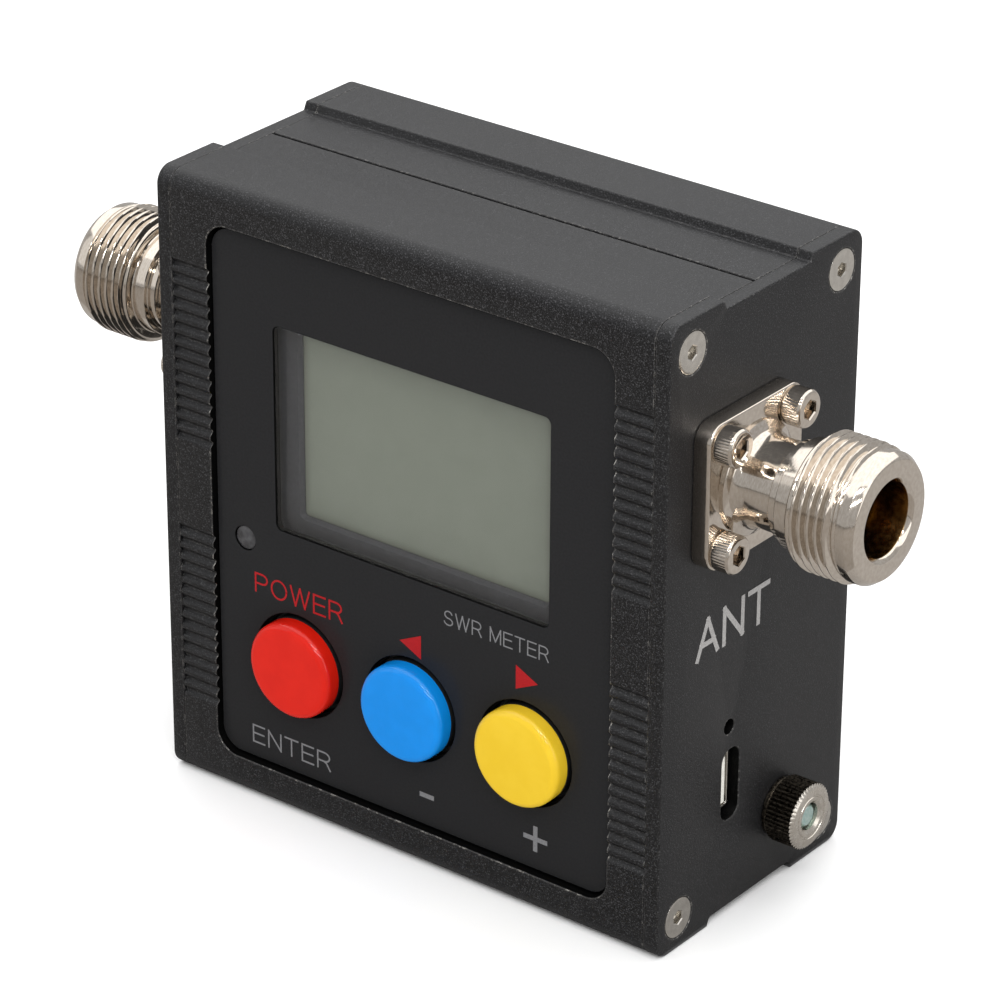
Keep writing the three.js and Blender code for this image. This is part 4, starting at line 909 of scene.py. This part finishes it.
def make_display_frame():
    """The moulded frame round the display: a box with a sloped, round-cornered view through its face
    and a cavity for the glass behind it."""
    glass_low, glass_high = span("display_glass")
    size, at = FRAME_HIGH - FRAME_LOW, (FRAME_LOW + FRAME_HIGH) / 2
    top, bottom, face = FRAME_LOW[1], FRAME_HIGH[1], glass_low[1]
    body = slab([(round_box(size[0], size[2], 0.5, at[0], at[2]), eased(top, bottom, 0.2))])
    view = slab([(round_box(*VIEW, 0.5, at[0], at[2]),
                  np.array([(top - 1, -0.35), (top, -0.35), (face - 0.2, 0), (bottom + 1, 0)]))])
    room = glass_high - glass_low + 0.2
    hollow = slab([(round_box(room[0], room[2], 0.2, at[0], at[2]), eased(face, bottom + 1, 0))])
    made = carved(blank("display_frame_finished", placed(body, "plate Y")),
                  placed(view, "plate Y"), placed(hollow, "plate Y"))
    return settled(made, GREY_ABS, "display_frame")


make_display_frame()

LIGHT_LOW, LIGHT_HIGH = span("status_light_lens")
light_length = LIGHT_HIGH[1] - LIGHT_LOW[1]
dome = [(light_length - 0.22 * (r / 1.5) ** 2, r) for r in np.linspace(0.0, 1.42, 8)]
lens = turned([(0, 0), (0, 1.5), (light_length - 0.32, 1.5)] + dome[::-1], 48)
piece("status_lens_finished", lens, "turned -Y", (LIGHT_AT[0], LIGHT_HIGH[1], LIGHT_AT[2]), SMOKED,
      "smoked_lens", "status_light_lens")


# ---- Keys ----

CAP_R = 6.0
CAP_EDGE = 0.9
CROWN = 0.05
FLANGE_OUT = 0.5
FLANGE_THICK = 1.2
FLANGE_EASE = 0.1


def key_cap(depth, sunk):
    """A round key cap, its back at 0 and its face at depth: a square well for the plunger, a flange,
    the side with an edge line at the depth sunk, a quarter-circle rim and a slightly crowned face."""
    well = lambda t: 2.0 / np.maximum(np.abs(np.cos(t)), np.abs(np.sin(t)))
    t = np.linspace(0, math.pi / 2, 9)
    rim = np.column_stack([depth - CROWN - CAP_EDGE * (1 - np.sin(t)), CAP_R - CAP_EDGE * (1 - np.cos(t))])
    flat = CAP_R - CAP_EDGE
    face = [(depth - CROWN * (r / flat) ** 2, r) for r in np.linspace(flat, 0, 6)[1:]]
    out = CAP_R + FLANGE_OUT
    return turned([(1.7, 0), (1.7, well), (0, well), (0, out - FLANGE_EASE), (FLANGE_EASE, out),
                   (FLANGE_THICK - FLANGE_EASE, out), (FLANGE_THICK, out - FLANGE_EASE),
                   (FLANGE_THICK, CAP_R), (sunk, CAP_R)] + [tuple(r) for r in rim] + face, 128)


for name in KEYS:
    low, high = span(f"{name}_key_cap")
    cap = key_cap(high[1] - low[1], high[1] - PANEL_LOW[1])
    made = piece(f"{name}_key_cap_finished", cap, "turned -Y", (KEY_AT[name][0], high[1], KEY_AT[name][2]),
                 KEY_FINISH[name], f"{name}_plastic", f"{name}_key_cap", f"{name}_key")
    # Below the panel a cap is painted black, its flange too: painted shade, so that the gap round it is as
    # dark as a deep one.
    second_finish(made, BLACK_ABS_AND_SHADE, lambda c, n: c[:, 1] > PANEL_LOW[1] + 0.01)


# ---- Lettering ----

def curve(u, v, a, b, start, end, steps):
    """Points of an ellipse about (u, v) between two angles in degrees."""
    t = np.radians(np.linspace(start, end, steps + 1))
    return np.column_stack([u + a * np.cos(t), v + b * np.sin(t)])


BOWL = np.vstack([[(0, 1)], curve(0.36, 0.735, 0.27, 0.265, 90, -90, 12), [(0, 0.47)]])
# Each letter is drawn with strokes on a body one unit high; the number is its width.
STROKES = {
    "A": (0.70, [[(0, 0), (0.35, 1), (0.70, 0)], [(0.12, 0.34), (0.58, 0.34)]]),
    "E": (0.60, [[(0, 0), (0, 1)], [(0, 1), (0.60, 1)], [(0, 0.53), (0.56, 0.53)], [(0, 0), (0.60, 0)]]),
    "M": (0.76, [[(0, 0), (0, 1), (0.38, 0.06), (0.76, 1), (0.76, 0)]]),
    "N": (0.66, [[(0, 0), (0, 1), (0.66, 0), (0.66, 1)]]),
    "O": (0.80, [curve(0.40, 0.5, 0.40, 0.5, 0, 360, 32)]),
    "P": (0.63, [[(0, 0), (0, 1)], BOWL]),
    "R": (0.66, [[(0, 0), (0, 1)], BOWL, [(0.34, 0.47), (0.46, 0.40), (0.66, 0)]]),
    "S": (0.62, [np.vstack([curve(0.31, 0.745, 0.27, 0.255, 18, 262, 14),
                            curve(0.31, 0.245, 0.31, 0.245, 82, -168, 14)])]),
    "T": (0.68, [[(0, 1), (0.68, 1)], [(0.34, 1), (0.34, 0)]]),
    "W": (1.00, [[(0, 1), (0.25, 0), (0.5, 1), (0.75, 0), (1.0, 1)]]),
    "X": (0.66, [[(0, 0), (0.66, 1)], [(0, 1), (0.66, 0)]]),
    " ": (0.20, []),
}
LETTER_GAP = 0.24


def stroke(line, width):
    """The quadrilaterals along a line, half the width to each side along the mitre. A line with a sharp
    turn is drawn as separate strokes, and an open stroke runs on by half its width at both ends."""
    line = np.array(line, float)
    side = np.diff(line, axis=0)
    ahead = side / np.linalg.norm(side, axis=1)[:, None]
    sharp = [i + 1 for i, bend in enumerate((ahead[:-1] * ahead[1:]).sum(1)) if bend < 0.5]
    if sharp:
        ends = [0, *sharp, len(line) - 1]
        return [q for a, b in zip(ends[:-1], ends[1:]) for q in stroke(line[a:b + 1], width)]
    if not np.allclose(line[0], line[-1]):
        line[0] -= ahead[0] * width / 2
        line[-1] += ahead[-1] * width / 2
        side = np.diff(line, axis=0)
    normal = np.column_stack([-side[:, 1], side[:, 0]]) / np.linalg.norm(side, axis=1)[:, None]
    closed = np.allclose(line[0], line[-1])
    before = np.vstack([normal[-1:] if closed else normal[:1], normal])
    after = np.vstack([normal, normal[:1] if closed else normal[-1:]])
    mitre = (before + after) / (1 + (before * after).sum(1))[:, None]
    left, right = line + mitre * width / 2, line - mitre * width / 2
    return [np.array([right[i], right[i + 1], left[i + 1], left[i]]) for i in range(len(line) - 1)]


def lettering(text, height, length, width):
    """The strokes of a line of text about its middle, height and length being over all."""
    place, lines = 0.0, []
    for letter in text:
        wide, strokes = STROKES[letter]
        lines += [np.array(s, float) + (place, 0) for s in strokes]
        place += wide + LETTER_GAP
    body = np.array([length - width, height - width])
    scale = body / (place - LETTER_GAP, 1)
    return [q for line in lines for q in stroke(line * scale - body / 2, width)]


triangle = lambda way: [np.array([(-1.55, 0.0), (1.55, -1.52), (1.55, 1.52)])[::way] * (way, 1)]
MINUS = stroke([(-0.75, 0), (0.75, 0)], 0.6)
PLUS = stroke([(-1.4, 0), (1.4, 0)], 0.6) + stroke([(0, -1.35), (0, 1.35)], 0.6)
INK_HIGH = 0.03
# Each print on the panel, with the node whose middle it is placed from and how far right and up of it.
for name, shape, ink, node, right, up in (
        ("power_label", lettering("POWER", 2.6, 13.25, 0.24), RED_INK, "red_key_cap", 0.1, 9.0),
        ("enter_label", lettering("ENTER", 2.42, 12.0, 0.21), GREY_INK, "red_key_cap", -1.35, -11.4),
        ("function_label", lettering("SWR METER", 1.9, 14.87, 0.155), GREY_INK, "display_window",
         12.4, -16.1),
        ("left_arrow", triangle(1), RED_INK, "blue_key_cap", 0.1, 8.5),
        ("right_arrow", triangle(-1), RED_INK, "yellow_key_cap", 0.2, 9.4),
        ("minus_sign", MINUS, GREY_INK, "blue_key_cap", 2.45, -10.6),
        ("plus_sign", PLUS, GREY_INK, "yellow_key_cap", 1.6, -10.55)):
    at = middle(node)
    piece(name, printed(shape, INK_HIGH), "plate -Y", (at[0] + right, PANEL_LOW[1], at[2] + up), ink)
# The marks on the end plates, below their sockets.
for name, word, length, axis, face in (("antenna_label", "ANT", 14.0, "plate X", PLATE_X),
                                       ("transmitter_label", "TX", 8.6, "plate -X", -PLATE_X)):
    piece(name, printed(lettering(word, 5.0, length, 0.65), INK_HIGH), axis,
          (face, SOCKET_AT[1] - 0.27, SOCKET_AT[2] - 18.3), PALE_INK)


# ---- Parts that keep their own shape ----

KEPT = {
    "display_glass": LCD, "display_backlight": WHITE_ABS_AND_HIGHLIGHT, "charge_light": WHITE_ABS_AND_HIGHLIGHT, "battery": FOIL,
    "battery_pad": FOAM, "main_board": BOARD, "coupler_board": BOARD, "charging_board": BOARD,
    "through_line": COPPER, "reflected_ferrite_core": FERRITE, "forward_ferrite_core": FERRITE,
    **{f"board_spacer_{i}": NICKEL for i in (1, 2, 3, 4)},
    **{f"{name}_key_{part}": BLACK_ABS_AND_SHADE for name in KEYS for part in ("plunger", "switch")},
}
for node, finish in KEPT.items():
    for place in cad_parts[node].material_slots:
        place.material = finish


# ---- Studio ----

def aimed(thing, at, backwards):
    """Puts a thing at a place, with its Z axis along the direction."""
    thing.location = at
    thing.rotation_euler = Vector(backwards).to_track_quat("Z", "Y").to_euler()
    return thing


def studio_plane(name, size, at, finish):
    """A flat square, the floor or a card, that faces up."""
    mesh = bpy.data.meshes.new(name)
    corners = [(u * size / 2, v * size / 2, 0) for u, v in ((-1, -1), (1, -1), (1, 1), (-1, 1))]
    mesh.from_pydata(corners, [], [(0, 1, 2, 3)])
    mesh.materials.append(finish)
    plane = aimed(linked(name, mesh), at, (0, 0, 1))
    return plane


studio_plane("floor", 6.0, (0, 0, 0), plain("pale_paper_floor", ("#fdfdfd", "#ffffff"), (0.85, 0.95), 20.0))


def reflected_card(name, y, tone):
    """A dull card just above the floor that only reflections see, as a studio's black card: it
    darkens gloss and metal and leaves the floor and the shadows alone."""
    dull = plain(name + "_paint", (tone, tone), (0.9, 1.0), 20.0, Specular_IOR_Level=0.0)
    card = studio_plane(name, 3.0, (0, y, 0.0005), dull)
    card.visible_camera = card.visible_diffuse = card.visible_shadow = card.visible_transmission = False


reflected_card("dark_card_in_front", -1.52, "#8e8a86")
reflected_card("grey_card_behind", 1.48, "#a4a2a0")
AIM = Vector((0.0, 0.0, 0.04))


def softbox(name, at, size, power):
    """A rectangular soft light turned to the object; the camera doesn't see it."""
    lamp = bpy.data.lights.new(name, "AREA")
    lamp.shape, lamp.size, lamp.size_y, lamp.energy = "RECTANGLE", *size, power
    aimed(linked(name, lamp), at, Vector(at) - AIM).visible_camera = False


softbox("top_light", (-0.15, 0.25, 0.95), (2.2, 2.2), 19.0)
softbox("left_light", (-0.9, -0.75, 0.55), (0.7, 0.9), 0.9)
softbox("right_light", (1.0, -0.1, 0.45), (0.5, 0.9), 1.8)
softbox("upper_strip", (0.40, -0.44, 0.72), (0.6, 0.03), 2.2)
softbox("lower_strip", (0.52, -0.56, 0.52), (0.6, 0.03), 1.4)

world = bpy.data.worlds.new("pale_studio")
world.use_nodes = True
sky = world.node_tree.nodes["Background"].inputs
sky["Color"].default_value, sky["Strength"].default_value = srgb("#ffffff"), 0.5
bpy.context.scene.world = world
bpy.context.scene.view_settings.view_transform = "Standard"

AZIMUTH, ELEVATION, ROLL = 37.79, 26.44, 0.31
LENS = 164.8
FROM_BASE = (0.121, 35.50, 545.2)      # mm: right, down and ahead, from the camera to the base's middle


def place_camera():
    """The camera looks at the case from in front, above and to the right. Its axes come from the three
    angles, and its place from where the base's middle lies along them."""
    a, e, r = (math.radians(x) for x in (AZIMUTH, ELEVATION, ROLL))
    behind = Vector((math.sin(a) * math.cos(e), -math.cos(a) * math.cos(e), math.sin(e)))
    level = (-behind).cross(Vector((0, 0, 1))).normalized()
    upright = level.cross(-behind)
    right = level * math.cos(r) + upright * math.sin(r)
    up = -level * math.sin(r) + upright * math.cos(r)
    base = Vector((0, MIDDLE_Y, 0))
    at = base - (right * FROM_BASE[0] - up * FROM_BASE[1] - behind * FROM_BASE[2])
    lens = bpy.data.cameras.new("camera")
    lens.lens, lens.sensor_width, lens.clip_start, lens.clip_end = LENS, 36.0, 0.01, 50.0
    held = linked("camera", lens)
    held.matrix_world = Matrix.Translation(at * MM) @ Matrix((right, up, behind)).transposed().to_4x4()
    bpy.context.scene.camera = held


place_camera()
